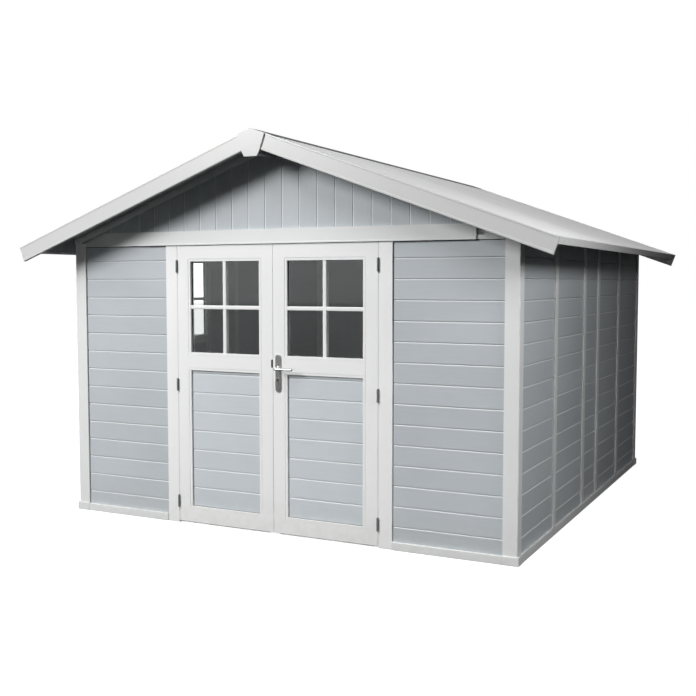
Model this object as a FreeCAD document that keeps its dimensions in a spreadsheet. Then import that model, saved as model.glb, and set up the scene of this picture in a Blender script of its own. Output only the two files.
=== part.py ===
import FreeCAD, Part
import math
import os
import Sketcher

# A plastic garden shed with a gabled roof and a pair of glazed doors.
# Millimetres, +Z up, +X to the right of someone facing the doors, +Y towards the rear.
# The origin is on the ground under the middle of the roof.

SIZES = {
    # walls
    "wall_width": 3150.0,
    "wall_depth": 3490.0,
    "wall_top": 1842.0,
    "board_pitch": 121.5,
    "board_base": 19.5,
    "panel_thick": 26.0,
    "panel_setback": 10.0,
    "groove_wide": 8.0,
    "groove_deep": 3.0,
    # posts, given as distances of their middles behind the front wall
    "post_wide": 88.0,
    "post_deep": 72.0,
    "post_round": 8.0,
    "flange_wide": 57.0,
    "flange_inner": 6.0,
    "web_thick": 6.0,
    "first_post": 783.0,
    "second_post": 1535.0,
    "third_post": 1955.0,
    "fourth_post": 2677.0,
    # base
    "rail_tall": 50.0,
    "rail_proud": 7.0,
    "rail_inner": 9.0,
    "shoe_proud": 9.0,
    "shoe_tall": 52.0,
    "shoe_floor": 3.0,
    # header over the doors
    "doorway": 1444.0,
    "header_drop": 24.0,
    "header_tall": 90.0,
    "header_proud": 6.0,
    "header_inset": 31.0,
    "lip_tall": 8.0,
    "lip_proud": 4.0,
    "bar_tall": 26.0,
    "bar_setback": 4.0,
    "bar_deep": 42.0,
    "filler_setback": 36.0,
    "filler_thick": 10.0,
    "stop_start": 100.0,
    "stop_wide": 16.0,
    "stop_thick": 14.6,
    # roof
    "roof_slope": 20.0,
    "plate_rise": 29.9,
    "plate_wide": 50.0,
    "plate_proud": 4.0,
    "roof_thick": 34.0,
    "verge_lip": 4.0,
    "eave_reach": 273.0,
    "front_verge": 240.0,
    "rear_verge": 190.0,
    "trim_tall": 44.0,
    "trim_deep": 40.0,
    "barge_tall": 100.0,
    "barge_thick": 22.0,
    "cap_half": 90.0,
    "end_cap_thick": 8.0,
    "end_cap_half": 98.0,
    "end_cap_side": 105.0,
    "end_cap_foot": 44.0,
    "end_cap_drop": 167.0,
    "beam_half": 30.0,
    "beam_drop": 147.0,
    "sheet_pitch": 610.0,
    "sheet_joint": 0.4,
    # door leaves
    "leaf_thick": 45.0,
    "leaf_base": 12.0,
    "leaf_head_gap": 3.0,
    "leaf_side_gap": 4.0,
    "leaf_middle_gap": 3.0,
    "stile_wide": 83.0,
    "top_rail": 86.0,
    "bottom_rail": 90.0,
    "mid_rail_base": 1027.0,
    "mid_rail_tall": 83.0,
    "leaf_panel_thick": 20.0,
    "leaf_panel_setback": 14.0,
    "leaf_board_pitch": 124.5,
    "glass_thick": 6.0,
    "glass_setback": 20.0,
    "bead_wide": 17.0,
    "bead_setback": 1.5,
    "bar_wide": 25.0,
    "bar_front": 4.0,
    "sweep_lift": 1.5,
    "sweep_thick": 25.0,
    "sweep_inset": 33.0,
    # side window
    "sill_height": 1087.0,
    "sill_tall": 65.0,
    "window_side": 37.0,
    "window_head": 104.0,
    "window_thick": 44.0,
    # hinges
    "hinge_tall": 75.0,
    "hinge_barrel": 6.5,
    "hinge_pin": 3.0,
    "hinge_fit": 0.05,
    "hinge_proud": 7.0,
    "hinge_plate": 1.5,
    "hinge_reach": 30.0,
    "hinge_step": 0.2,
    "hinge_inset": 132.5,
    # lock and lever
    "lever_height": 1046.0,
    "key_height": 978.0,
    "handle_inset": 38.5,
    "plate_length": 235.0,
    "plate_radius": 20.0,
    "plate_middle": 1018.0,
    "plate_thick": 8.0,
    "neck_radius": 9.0,
    "lever_radius": 8.5,
    "lever_length": 124.0,
    "lever_stand": 50.0,
    "spindle": 7.0,
    "key_radius": 8.0,
    "turn_fit": 0.08,
    "case_deep": 80.0,
    "case_thick": 25.0,
    "case_tall": 280.0,
    "latch_height": 1075.0,
    "latch_tall": 20.0,
    "latch_reach": 9.5,
    "bolt_height": 1010.0,
    "bolt_tall": 28.0,
    "bolt_thick": 12.0,
    "bolt_length": 30.0,
    "slide_fit": 0.3,
    # flush bolts on the left leaf
    "rod_radius": 5.0,
    "rod_inset": 48.5,
    "rod_stand": 10.0,
    "rod_length": 310.0,
    "rod_travel": 25.0,
    "guide_tall": 15.0,
    "guide_wide": 24.0,
    "guide_deep": 18.0,
}

doc = FreeCAD.newDocument("garden_shed")
sheet = doc.addObject("Spreadsheet::Sheet", "Sizes")
for row, (alias, number) in enumerate(SIZES.items(), start=1):
    sheet.set(f"A{row}", alias)
    sheet.set(f"B{row}", str(number))
    sheet.setAlias(f"B{row}", alias)
doc.recompute()


class Size:
    """A length with its value and the expression that ties it to the sheet."""

    def __init__(self, value, text):
        self.value = value
        self.text = text

    def __add__(self, other):
        other = as_size(other)
        return Size(self.value + other.value, f"({self.text} + {other.text})")

    def __sub__(self, other):
        other = as_size(other)
        return Size(self.value - other.value, f"({self.text} - {other.text})")

    def __mul__(self, other):
        other = as_size(other)
        return Size(self.value * other.value, f"({self.text} * {other.text})")

    def __truediv__(self, other):
        other = as_size(other)
        return Size(self.value / other.value, f"({self.text} / {other.text})")

    def __neg__(self):
        return Size(-self.value, f"(0 - {self.text})")

    def __radd__(self, other):
        return as_size(other) + self

    def __rsub__(self, other):
        return as_size(other) - self


def as_size(length):
    """Return a plain number as a Size that is tied to nothing."""
    if isinstance(length, Size):
        return length
    return Size(float(length), f"({float(length)})")


def from_sheet(alias):
    """Read one driving size from the sheet."""
    return Size(float(sheet.get(alias)), f"Sizes.{alias}")


S = {alias: from_sheet(alias) for alias in SIZES}

PLANES = {"x": ("YZ_Plane", 1), "y": ("XZ_Plane", -1), "z": ("XY_Plane", 1)}
nodes = []


def bind(item, prop, length):
    """Tie a property of an object to the sheet."""
    item.setExpression(prop, as_size(length).text)


def ordered(first, second):
    """Put two lengths in rising order."""
    first = as_size(first)
    second = as_size(second)
    if first.value <= second.value:
        return first, second
    return second, first


def across(side, near, far):
    """Mirror a stretch of X to the right (+1) or left (-1) of the middle."""
    return ordered(as_size(near) * side, as_size(far) * side)


def block(name, x, y, z):
    """A rectangular solid between pairs of coordinates."""
    box = doc.addObject("Part::Box", name)
    for prop, axis, ends in zip(("Length", "Width", "Height"), "xyz", (x, y, z)):
        low, high = ordered(*ends)
        bind(box, prop, high - low)
        bind(box, f"Placement.Base.{axis}", low)
    return box


def rod(name, axis, centre, ends, radius):
    """A cylinder along an axis; centre holds its other two coordinates in x, y, z order."""
    low, high = ordered(*ends)
    cylinder = doc.addObject("Part::Cylinder", name)
    turn = {
        "x": FreeCAD.Rotation(FreeCAD.Vector(0, 1, 0), 90),
        "y": FreeCAD.Rotation(FreeCAD.Vector(1, 0, 0), -90),
        "z": FreeCAD.Rotation(),
    }[axis]
    cylinder.Placement = FreeCAD.Placement(FreeCAD.Vector(), turn)
    others = list(centre)
    for name_of_axis in "xyz":
        place = low if name_of_axis == axis else others.pop(0)
        bind(cylinder, f"Placement.Base.{name_of_axis}", place)
    bind(cylinder, "Radius", radius)
    bind(cylinder, "Height", high - low)
    return cylinder


def ball(name, x, y, z, radius):
    """A sphere."""
    sphere = doc.addObject("Part::Sphere", name)
    bind(sphere, "Radius", radius)
    for axis, place in zip("xyz", (x, y, z)):
        bind(sphere, f"Placement.Base.{axis}", place)
    return sphere


def join(name, *pieces):
    """Fuse pieces into one solid."""
    fused = doc.addObject("Part::MultiFuse", name)
    fused.Shapes = list(pieces)
    return fused


def carve(name, base, *tools):
    """Cut tools out of a base."""
    cut = doc.addObject("Part::Cut", name)
    cut.Base = base
    cut.Tool = tools[0] if len(tools) == 1 else join(f"{name}_tools", *tools)
    return cut


def origin_feature(body, role):
    """Find one of a body's own origin planes or axes."""
    return next(item for item in body.Origin.OriginFeatures if item.Role == role)


def draw(body, name, axis, outlines, at):
    """Draw closed outlines, square to an axis, at a place along it."""
    plane, sense = PLANES[axis]
    sketch = body.newObject("Sketcher::SketchObject", name)
    sketch.AttachmentSupport = [(origin_feature(body, plane), "")]
    sketch.MapMode = "FlatFace"
    bind(sketch, "AttachmentOffset.Base.z", as_size(at) * sense)
    first = 0
    for outline in outlines:
        corners = [(as_size(u), as_size(v)) for u, v in outline]
        spots = [FreeCAD.Vector(u.value, v.value, 0) for u, v in corners]
        count = len(spots)
        for index in range(count):
            sketch.addGeometry(Part.LineSegment(spots[index], spots[(index + 1) % count]), False)
        for index in range(count):
            line = first + index
            following = first + (index + 1) % count
            sketch.addConstraint(Sketcher.Constraint("Coincident", line, 2, following, 1))
        for index, corner in enumerate(corners):
            for kind, length in zip(("DistanceX", "DistanceY"), corner):
                rule = Sketcher.Constraint(kind, -1, 1, first + index, 1, length.value)
                number = sketch.addConstraint(rule)
                bind(sketch, f"Constraints[{number}]", length)
        first += count
    return sketch


def prism(name, axis, outline, ends):
    """A straight extrusion of one outline along an axis."""
    low, high = ordered(*ends)
    body = doc.addObject("PartDesign::Body", name)
    body.AllowCompound = True
    start = high if PLANES[axis][1] < 0 else low
    pad = body.newObject("PartDesign::Pad", f"{name}_pad")
    pad.Profile = draw(body, f"{name}_outline", axis, [outline], start)
    bind(pad, "Length", high - low)
    body.Tip = pad
    return body


def groove(body, name, axis, outlines, ends, direction, pitch, count):
    """Cut the same grooves count times, a pitch apart."""
    low, high = ordered(*ends)
    doc.recompute()
    start = low if PLANES[axis][1] < 0 else high
    pocket = body.newObject("PartDesign::Pocket", f"{name}_groove")
    pocket.Profile = draw(body, f"{name}_vee", axis, outlines, start)
    bind(pocket, "Length", high - low)
    pocket.Reversed = False
    body.Tip = pocket
    if count < 2:
        return
    doc.recompute()
    pattern = body.newObject("PartDesign::LinearPattern", f"{name}_grooves")
    pattern.Originals = [pocket]
    pattern.Direction = (origin_feature(body, direction), [""])
    pattern.Mode = "Spacing"
    bind(pattern, "Offset", pitch)
    pattern.Occurrences = count
    body.Tip = pattern


def node(label, *pieces):
    """Make a named sub-part of one piece, or of several separate ones."""
    if len(pieces) == 1:
        part = pieces[0]
        part.Label = label
    else:
        part = doc.addObject("Part::Compound", label)
        part.Label = label
        part.Links = list(pieces)
    nodes.append(part)
    return part


# ---- places that several sub-parts share ----

HALF = S["wall_width"] / 2
FRONT = (S["front_verge"] - S["rear_verge"]) / 2 - S["wall_depth"] / 2
REAR = FRONT + S["wall_depth"]
POST_INNER = HALF - S["post_wide"]
DOOR_HALF = S["doorway"] / 2
JAMB_OUTER = DOOR_HALF + S["post_wide"]
HEADER_BASE = S["wall_top"] - S["header_drop"]
HEADER_TOP = HEADER_BASE + S["header_tall"]
TAN = Size(math.tan(math.radians(S["roof_slope"].value)), "tan(Sizes.roof_slope)")
COS = Size(math.cos(math.radians(S["roof_slope"].value)), "cos(Sizes.roof_slope)")
SIN = Size(math.sin(math.radians(S["roof_slope"].value)), "sin(Sizes.roof_slope)")
ROOF_UNDER = S["verge_lip"] + S["roof_thick"]
TRIM_UNDER = ROOF_UNDER + S["trim_tall"]
PLATE_OUTER = HALF + S["plate_proud"]
PLATE_INNER = PLATE_OUTER - S["plate_wide"]
RIDGE = S["wall_top"] + S["plate_rise"] + PLATE_OUTER * TAN + ROOF_UNDER / COS
SLOPE_END = (HALF + S["eave_reach"]) / COS
GABLE_HALF = PLATE_OUTER - (HEADER_TOP + S["trim_tall"] / COS - S["wall_top"] - S["plate_rise"]) / TAN
HEADER_HALF = GABLE_HALF - S["header_inset"]


def wall_faces(side):
    """The outer and inner Y of a panel in the front (-1) or rear (+1) wall."""
    face = FRONT if side < 0 else REAR
    outer = face - S["panel_setback"] * side
    return outer, outer - S["panel_thick"] * side


def depth_from(side, near, far):
    """A stretch of Y measured inward from the front (-1) or rear (+1) wall's face."""
    face = FRONT if side < 0 else REAR
    return ordered(face - as_size(near) * side, face - as_size(far) * side)


def roof_line(x, below):
    """Height, at a distance x from the middle, of a line that far below the roof's top line."""
    return RIDGE - as_size(below) / COS - as_size(x) * TAN


def roof_spot(side, along, below):
    """A point given along the slope from the ridge and square below the roof's top line."""
    along = as_size(along)
    below = as_size(below)
    return (along * COS - below * SIN) * side, RIDGE - along * SIN - below * COS


def vee(face, inward, middle):
    """The outline of a groove in a face, which is a coordinate across the wall."""
    half = S["groove_wide"] / 2
    return [
        (face, middle - half),
        (face + S["groove_deep"] * inward, middle),
        (face, middle + half),
    ]


def boarded(name, axis, ends, faces, rise, base, pitch):
    """A plate of level boards, grooved on both faces where the boards meet."""
    outer, inner = ordered(*faces)
    low, high = rise
    outline = [(outer, low), (inner, low), (inner, high), (outer, high)]
    panel = prism(name, axis, outline, ends)
    half = S["groove_wide"].value / 2
    lowest = math.floor((low.value + half - base.value) / pitch.value) + 1
    highest = math.ceil((high.value - half - base.value) / pitch.value) - 1
    middle = base + pitch * lowest
    vees = [vee(outer, 1, middle), vee(inner, -1, middle)]
    groove(panel, name, axis, vees, ends, "Z_Axis", pitch, highest - lowest + 1)
    return panel


# ---- base ----

def rail(name, axis, ends, sense, face):
    """A channel that the wall panels stand in; sense points out of the shed."""
    outer = face + S["rail_proud"] * sense
    slot_outer = face - S["panel_setback"] * sense
    slot_inner = slot_outer - S["panel_thick"] * sense
    inner = slot_inner - S["rail_inner"] * sense
    tall = S["rail_tall"]
    seat = S["board_base"]
    outline = [
        (outer, 0), (inner, 0), (inner, tall), (slot_inner, tall),
        (slot_inner, seat), (slot_outer, seat), (slot_outer, tall), (outer, tall),
    ]
    return prism(name, axis, outline, ends)


def make_base():
    """Base rails and the shoes at the four corners."""
    pieces = [rail(f"front_rail_{tag}", "x", across(side, JAMB_OUTER, POST_INNER), -1, FRONT)
              for tag, side in (("left", -1), ("right", 1))]
    node("front_base_rails", *pieces)
    ends = (FRONT + S["post_deep"], REAR - S["post_deep"])
    pieces = [rail(f"side_rail_{tag}", "y", ends, side, HALF * side)
              for tag, side in (("left", -1), ("right", 1))]
    node("side_base_rails", *pieces)
    node("rear_base_rail", rail("rear_rail", "x", across(1, -POST_INNER, POST_INNER), 1, REAR))
    shoes = []
    for end in (-1, 1):
        for side in (-1, 1):
            name = f"shoe_{len(shoes) + 1}"
            outside = HALF + S["shoe_proud"]
            whole = block(f"{name}_block", across(side, POST_INNER, outside),
                          depth_from(end, -S["shoe_proud"], S["post_deep"]), (0, S["shoe_tall"]))
            hollow = block(f"{name}_hollow", across(side, POST_INNER - 1, HALF),
                           depth_from(end, 0, S["post_deep"] + 1),
                           (S["shoe_floor"], S["shoe_tall"] + 1))
            shoes.append(carve(name, whole, hollow))
    node("corner_shoes", *shoes)


# ---- posts ----

def corner_post(name, side, end):
    """A corner post with its outer arris rounded."""
    x_inner, x_outer = POST_INNER * side, HALF * side
    y_outer = FRONT if end < 0 else REAR
    y_inner = y_outer - S["post_deep"] * end
    outline = [(x_inner, y_inner), (x_outer, y_inner), (x_outer, y_outer), (x_inner, y_outer)]
    post = prism(name, "z", outline, (S["shoe_floor"], S["wall_top"]))
    doc.recompute()
    corner = FreeCAD.Vector(x_outer.value, y_outer.value, 0)
    edges = []
    pad = post.Tip
    for number, edge in enumerate(pad.Shape.Edges, start=1):
        middle = edge.CenterOfMass
        if math.hypot(middle.x - corner.x, middle.y - corner.y) < 1:
            edges.append(f"Edge{number}")
    fillet = post.newObject("PartDesign::Fillet", f"{name}_round")
    fillet.Base = (pad, edges)
    bind(fillet, "Radius", S["post_round"])
    post.Tip = fillet
    return post


def wall_post(name, across_axis, middle, sense, face, top):
    """An H-section post between two panels; sense points out of the shed."""
    outer = face
    skin_outer = face - S["panel_setback"] * sense
    skin_inner = skin_outer - S["panel_thick"] * sense
    inner = skin_inner - S["flange_inner"] * sense
    flange = S["flange_wide"] / 2
    web = S["web_thick"] / 2
    section = [
        (outer, middle - flange), (outer, middle + flange),
        (skin_outer, middle + flange), (skin_outer, middle + web),
        (skin_inner, middle + web), (skin_inner, middle + flange),
        (inner, middle + flange), (inner, middle - flange),
        (skin_inner, middle - flange), (skin_inner, middle - web),
        (skin_outer, middle - web), (skin_outer, middle - flange),
    ]
    if across_axis == "y":
        section = [(along, depth) for depth, along in section]
    return prism(name, "z", section, (S["rail_tall"], top))


SIDE_POSTS = [FRONT + S[key] for key in ("first_post", "second_post", "third_post", "fourth_post")]
REAR_BAY = POST_INNER / 2
REAR_POSTS = [-REAR_BAY, as_size(0), REAR_BAY]


def make_posts():
    """Corner posts, door jambs with their stops, and the posts between the wall panels."""
    for tag, end in (("front", -1), ("rear", 1)):
        node(f"{tag}_corner_posts", corner_post(f"{tag}_post_left", -1, end),
             corner_post(f"{tag}_post_right", 1, end))
    stop_depth = depth_from(-1, S["leaf_thick"] + S["slide_fit"],
                            S["leaf_thick"] + S["slide_fit"] + S["stop_thick"])
    stop_edge = DOOR_HALF - S["stop_wide"]
    stops = []
    for tag, side in (("left", -1), ("right", 1)):
        jamb = block(f"{tag}_jamb", across(side, DOOR_HALF, JAMB_OUTER),
                     (FRONT, FRONT + S["post_deep"]), (0, HEADER_BASE))
        node(f"{tag}_door_jamb", jamb)
        stops.append(block(f"stop_{tag}", across(side, stop_edge, DOOR_HALF),
                           stop_depth, (0, HEADER_BASE)))
        stops.append(block(f"head_stop_{tag}", across(side, S["stop_start"], stop_edge),
                           stop_depth, (HEADER_BASE - S["stop_wide"], HEADER_BASE)))
        side_posts = [wall_post(f"{tag}_post_{number}", "x", middle, side, HALF * side, S["wall_top"])
                      for number, middle in enumerate(SIDE_POSTS, start=1)]
        node(f"{tag}_wall_posts", *side_posts)
    node("door_stops", *stops)
    rear_posts = [wall_post(f"rear_post_{number}", "y", middle, 1, REAR, HEADER_BASE)
                  for number, middle in enumerate(REAR_POSTS, start=1)]
    node("rear_wall_posts", *rear_posts)


# ---- wall panels ----

def bays(first, middles, last):
    """The stretches between posts, from one end of a wall to the other."""
    web = S["web_thick"] / 2
    starts = [first] + [middle + web for middle in middles]
    stops = [middle - web for middle in middles] + [last]
    return list(zip(starts, stops))


def make_panels():
    """Boarded panels of the four walls."""
    base = S["board_base"]
    pitch = S["board_pitch"]
    for tag, side in (("left", -1), ("right", 1)):
        front_panel = boarded(f"{tag}_front", "x", across(side, JAMB_OUTER, POST_INNER),
                              wall_faces(-1), (base, HEADER_BASE), base, pitch)
        node(f"{tag}_front_panel", front_panel)
        outer = (HALF - S["panel_setback"]) * side
        inner = outer - S["panel_thick"] * side
        panels = []
        for number, ends in enumerate(bays(FRONT + S["post_deep"], SIDE_POSTS,
                                           REAR - S["post_deep"]), start=1):
            window_bay = side < 0 and number == 2
            top = S["sill_height"] if window_bay else S["wall_top"]
            panels.append(boarded(f"{tag}_bay_{number}", "y", ends, (outer, inner),
                                  (base, top), base, pitch))
        node(f"{tag}_wall_panels", *panels)
    panels = []
    for number, ends in enumerate(bays(-POST_INNER, REAR_POSTS, POST_INNER), start=1):
        panels.append(boarded(f"rear_bay_{number}", "x", ends, wall_faces(1),
                              (base, HEADER_BASE), base, pitch))
    node("rear_wall_panels", *panels)


def make_window():
    """The fixed window in the second bay of the left wall."""
    start, stop = bays(FRONT + S["post_deep"], SIDE_POSTS, REAR - S["post_deep"])[1]
    outer = S["panel_setback"] - HALF
    inner = outer + S["window_thick"]
    skin = outer + S["panel_thick"]
    low = S["sill_height"]
    high = S["wall_top"]
    side = S["window_side"]
    glass_low = low + S["sill_tall"]
    glass_high = high - S["window_head"]
    members = [
        block("window_sill", (outer, inner), (start + S["flange_wide"] / 2, stop - S["flange_wide"] / 2),
              (low, glass_low)),
        block("window_top", (outer, skin), (start, stop), (glass_high, high)),
        block("window_jamb_front", (outer, skin), (start, start + side), (glass_low, glass_high)),
        block("window_jamb_rear", (outer, skin), (stop - side, stop), (glass_low, glass_high)),
    ]
    glass_outer = outer + (S["panel_thick"] - S["glass_thick"]) / 2
    glass_inner = glass_outer + S["glass_thick"]
    half = S["bar_wide"] / 2
    centre = (start + stop) / 2
    level = (glass_low + glass_high) / 2
    for face, ends in (("outer", (outer + 2, glass_outer)), ("inner", (glass_inner, skin - 2))):
        members.append(block(f"window_bar_{face}_level", ends, (start + side, stop - side),
                             (level - half, level + half)))
        members.append(block(f"window_bar_{face}_low", ends, (centre - half, centre + half),
                             (glass_low, level - half)))
        members.append(block(f"window_bar_{face}_high", ends, (centre - half, centre + half),
                             (level + half, glass_high)))
    node("window_frame", *members)
    node("window_glass", block("window_pane", (glass_outer, glass_inner), (start + side, stop - side),
                               (glass_low, glass_high)))


# ---- headers and gables ----

def make_header(tag, end):
    """The lintel across a gable wall, with a lip along its lower edge."""
    face = FRONT if end < 0 else REAR
    proud = face + S["header_proud"] * end
    lip = proud + S["lip_proud"] * end
    back = face - S["post_deep"] * end
    top_of_lip = HEADER_BASE + S["lip_tall"]
    outline = [
        (back, HEADER_BASE), (lip, HEADER_BASE), (lip, top_of_lip),
        (proud, top_of_lip), (proud, HEADER_TOP), (back, HEADER_TOP),
    ]
    return prism(f"{tag}_lintel", "x", outline, (-HEADER_HALF, HEADER_HALF))


def make_headers():
    """Both lintels, and the bars and fillers that reach from their ends to the corners."""
    rod_hole = rod("rod_hole", "z", (-S["rod_inset"] - S["leaf_middle_gap"] / 2,
                                     FRONT + S["leaf_thick"] + S["rod_stand"]),
                   (HEADER_BASE - 1, HEADER_BASE + S["rod_travel"]), S["rod_radius"] + 1)
    node("front_header", carve("front_header_cut", make_header("front", -1), rod_hole))
    node("rear_header", make_header("rear", 1))
    pieces = []
    bar_top = HEADER_BASE + S["bar_tall"]
    filler_end = PLATE_OUTER - (bar_top + S["trim_tall"] / COS - S["wall_top"] - S["plate_rise"]) / TAN
    for end in (-1, 1):
        for side in (-1, 1):
            number = len(pieces) + 1
            pieces.append(block(f"end_bar_{number}", across(side, HEADER_HALF, POST_INNER),
                                depth_from(end, S["bar_setback"], S["bar_setback"] + S["bar_deep"]),
                                (HEADER_BASE, bar_top)))
            outline = [
                (HEADER_HALF * side, bar_top),
                (filler_end * side, bar_top),
                (HEADER_HALF * side, roof_line(HEADER_HALF, TRIM_UNDER)),
            ]
            reach = depth_from(end, S["filler_setback"], S["filler_setback"] + S["filler_thick"])
            pieces.append(prism(f"filler_{number}", "y", outline, reach))
    node("header_brackets", *pieces)


def make_gable(tag, end):
    """A gable of upright boards, notched at the top for the ridge beam."""
    beam = S["beam_half"]
    beam_under = RIDGE - S["beam_drop"]
    shoulder = roof_line(beam, TRIM_UNDER)
    outline = [
        (-GABLE_HALF, HEADER_TOP), (GABLE_HALF, HEADER_TOP), (beam, shoulder),
        (beam, beam_under), (-beam, beam_under), (-beam, shoulder),
    ]
    outer, inner = ordered(*wall_faces(end))
    panel = prism(f"{tag}_boards", "y", outline, (outer, inner))
    pitch = S["board_pitch"]
    per_side = math.floor(GABLE_HALF.value / pitch.value - 0.5)
    first = -pitch * (per_side + 0.5)
    half = S["groove_wide"] / 2
    deep = S["groove_deep"]
    vees = [
        [(first - half, outer), (first, outer + deep), (first + half, outer)],
        [(first - half, inner), (first, inner - deep), (first + half, inner)],
    ]
    groove(panel, f"{tag}_gable", "z", vees, (HEADER_TOP, RIDGE), "X_Axis", pitch, 2 * per_side + 2)
    node(f"{tag}_gable", panel)


def make_gables():
    """Gables and the sloping trims that cover their upper edges."""
    make_gable("front", -1)
    make_gable("rear", 1)
    trims = []
    for end in (-1, 1):
        for side in (-1, 1):
            outline = [
                (S["beam_half"] * side, roof_line(S["beam_half"], ROOF_UNDER)),
                (PLATE_INNER * side, roof_line(PLATE_INNER, ROOF_UNDER)),
                (PLATE_INNER * side, roof_line(PLATE_INNER, TRIM_UNDER)),
                (S["beam_half"] * side, roof_line(S["beam_half"], TRIM_UNDER)),
            ]
            trims.append(prism(f"trim_{len(trims) + 1}", "y", outline,
                               depth_from(end, 0, S["trim_deep"])))
    node("gable_trims", *trims)


# ---- roof ----

ROOF_ENDS = (FRONT - S["front_verge"] + S["barge_thick"], REAR + S["rear_verge"] - S["barge_thick"])


def make_frame():
    """Ridge beam and the plates along the tops of the side walls."""
    beam = S["beam_half"]
    beam_under = RIDGE - S["beam_drop"]
    outline = [
        (-beam, beam_under), (beam, beam_under), (beam, roof_line(beam, ROOF_UNDER)),
        (0, roof_line(0, ROOF_UNDER)), (-beam, roof_line(beam, ROOF_UNDER)),
    ]
    node("ridge_beam", prism("ridge", "y", outline, ROOF_ENDS))
    plates = []
    for tag, side in (("left", -1), ("right", 1)):
        outline = [
            (PLATE_INNER * side, S["wall_top"]), (PLATE_OUTER * side, S["wall_top"]),
            (PLATE_OUTER * side, roof_line(PLATE_OUTER, ROOF_UNDER)),
            (PLATE_INNER * side, roof_line(PLATE_INNER, ROOF_UNDER)),
        ]
        plates.append(prism(f"{tag}_plate", "y", outline, (FRONT, REAR)))
    node("wall_plates", *plates)


def make_roof():
    """Roof sheets, ridge cap, eave channels, barge boards and the caps at the ridge's ends."""
    start, stop = ROOF_ENDS
    length = stop - start
    sheets = max(1, round(length.value / S["sheet_pitch"].value))
    width = (length - S["sheet_joint"] * (sheets - 1)) / sheets
    edge = SLOPE_END - S["verge_lip"]
    under_lip = ROOF_UNDER + S["verge_lip"] * 0.75
    for tag, side in (("left", -1), ("right", 1)):
        outline = [
            (0, roof_line(0, S["verge_lip"])), roof_spot(side, edge, S["verge_lip"]),
            roof_spot(side, edge, ROOF_UNDER), (0, roof_line(0, ROOF_UNDER)),
        ]
        panels = []
        for number in range(sheets):
            near = start + (width + S["sheet_joint"]) * number
            panels.append(prism(f"{tag}_sheet_{number + 1}", "y", outline, (near, near + width)))
        node(f"{tag}_roof_panels", *panels)
        outline = [
            roof_spot(side, SLOPE_END - 40, 0), roof_spot(side, SLOPE_END, 0),
            roof_spot(side, SLOPE_END, under_lip), roof_spot(side, SLOPE_END - 30, under_lip),
            roof_spot(side, SLOPE_END - 30, ROOF_UNDER), roof_spot(side, edge, ROOF_UNDER),
            roof_spot(side, edge, S["verge_lip"]), roof_spot(side, SLOPE_END - 40, S["verge_lip"]),
        ]
        node(f"{tag}_eave_trim", prism(f"{tag}_eave", "y", outline, ROOF_ENDS))
    half = S["cap_half"]
    outline = [
        (-half, roof_line(half, 0)), (0, roof_line(0, 0)), (half, roof_line(half, 0)),
        (half, roof_line(half, S["verge_lip"])), (0, roof_line(0, S["verge_lip"])),
        (-half, roof_line(half, S["verge_lip"])),
    ]
    node("ridge_cap", prism("cap", "y", outline, ROOF_ENDS))
    end_caps = []
    for tag, end, verge in (("front", -1, S["front_verge"]), ("rear", 1, S["rear_verge"])):
        boards = []
        for side in (-1, 1):
            outline = [
                (0, roof_line(0, 0)), roof_spot(side, SLOPE_END, 0),
                roof_spot(side, SLOPE_END, S["barge_tall"]), (0, roof_line(0, S["barge_tall"])),
            ]
            boards.append(prism(f"{tag}_barge_{len(boards) + 1}", "y", outline,
                                depth_from(end, S["barge_thick"] - verge, -verge)))
        node(f"{tag}_barge_boards", *boards)
        along = S["end_cap_half"] / COS
        foot = RIDGE - S["end_cap_drop"]
        right = [roof_spot(1, along, 0), roof_spot(1, along, S["end_cap_side"]),
                 (S["end_cap_foot"], foot)]
        left = [(-x, z) for x, z in reversed(right)]
        outline = [(0, roof_line(0, 0))] + right + left
        end_caps.append(prism(f"{tag}_end_cap", "y", outline,
                              depth_from(end, -verge, -verge - S["end_cap_thick"])))
    node("ridge_end_caps", *end_caps)


# ---- door leaves ----

LEAF_NEAR = S["leaf_middle_gap"] / 2
LEAF_FAR = DOOR_HALF - S["leaf_side_gap"]
LEAF_TOP = HEADER_BASE - S["leaf_head_gap"]
LEAF_BACK = FRONT + S["leaf_thick"]
OPEN_NEAR = LEAF_NEAR + S["stile_wide"]
OPEN_FAR = LEAF_FAR - S["stile_wide"]
OPEN_TOP = LEAF_TOP - S["top_rail"]
OPEN_BASE = S["leaf_base"] + S["bottom_rail"]
GLASS_BASE = S["mid_rail_base"] + S["mid_rail_tall"]
PIN_X = DOOR_HALF - S["leaf_side_gap"] / 2
PIN_Y = FRONT - S["hinge_proud"]
HINGE_LOW = S["leaf_base"] + S["hinge_inset"]
HINGE_HIGH = LEAF_TOP - S["hinge_inset"]
HINGE_LEVELS = [HINGE_LOW, (HINGE_LOW + HINGE_HIGH) / 2, HINGE_HIGH]
HANDLE_X = LEAF_NEAR + S["handle_inset"]
CASE_Y = (LEAF_BACK - (S["leaf_thick"] + S["case_thick"]) / 2,
          LEAF_BACK - (S["leaf_thick"] - S["case_thick"]) / 2)
BOLT_Y = (LEAF_BACK - (S["leaf_thick"] + S["bolt_thick"]) / 2,
          LEAF_BACK - (S["leaf_thick"] - S["bolt_thick"]) / 2)
ROD_X = -LEAF_NEAR - S["rod_inset"]
ROD_Y = LEAF_BACK + S["rod_stand"]


def grown(ends, amount):
    """A stretch made longer by the same amount at both ends."""
    low, high = ordered(*ends)
    return low - amount, high + amount


def leaf_member(tag, side, part, outline):
    """One straight member of a leaf's mitred frame."""
    mirrored = [(as_size(x) * side, z) for x, z in outline]
    return prism(f"{tag}_{part}", "y", mirrored, (FRONT, LEAF_BACK))


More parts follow.
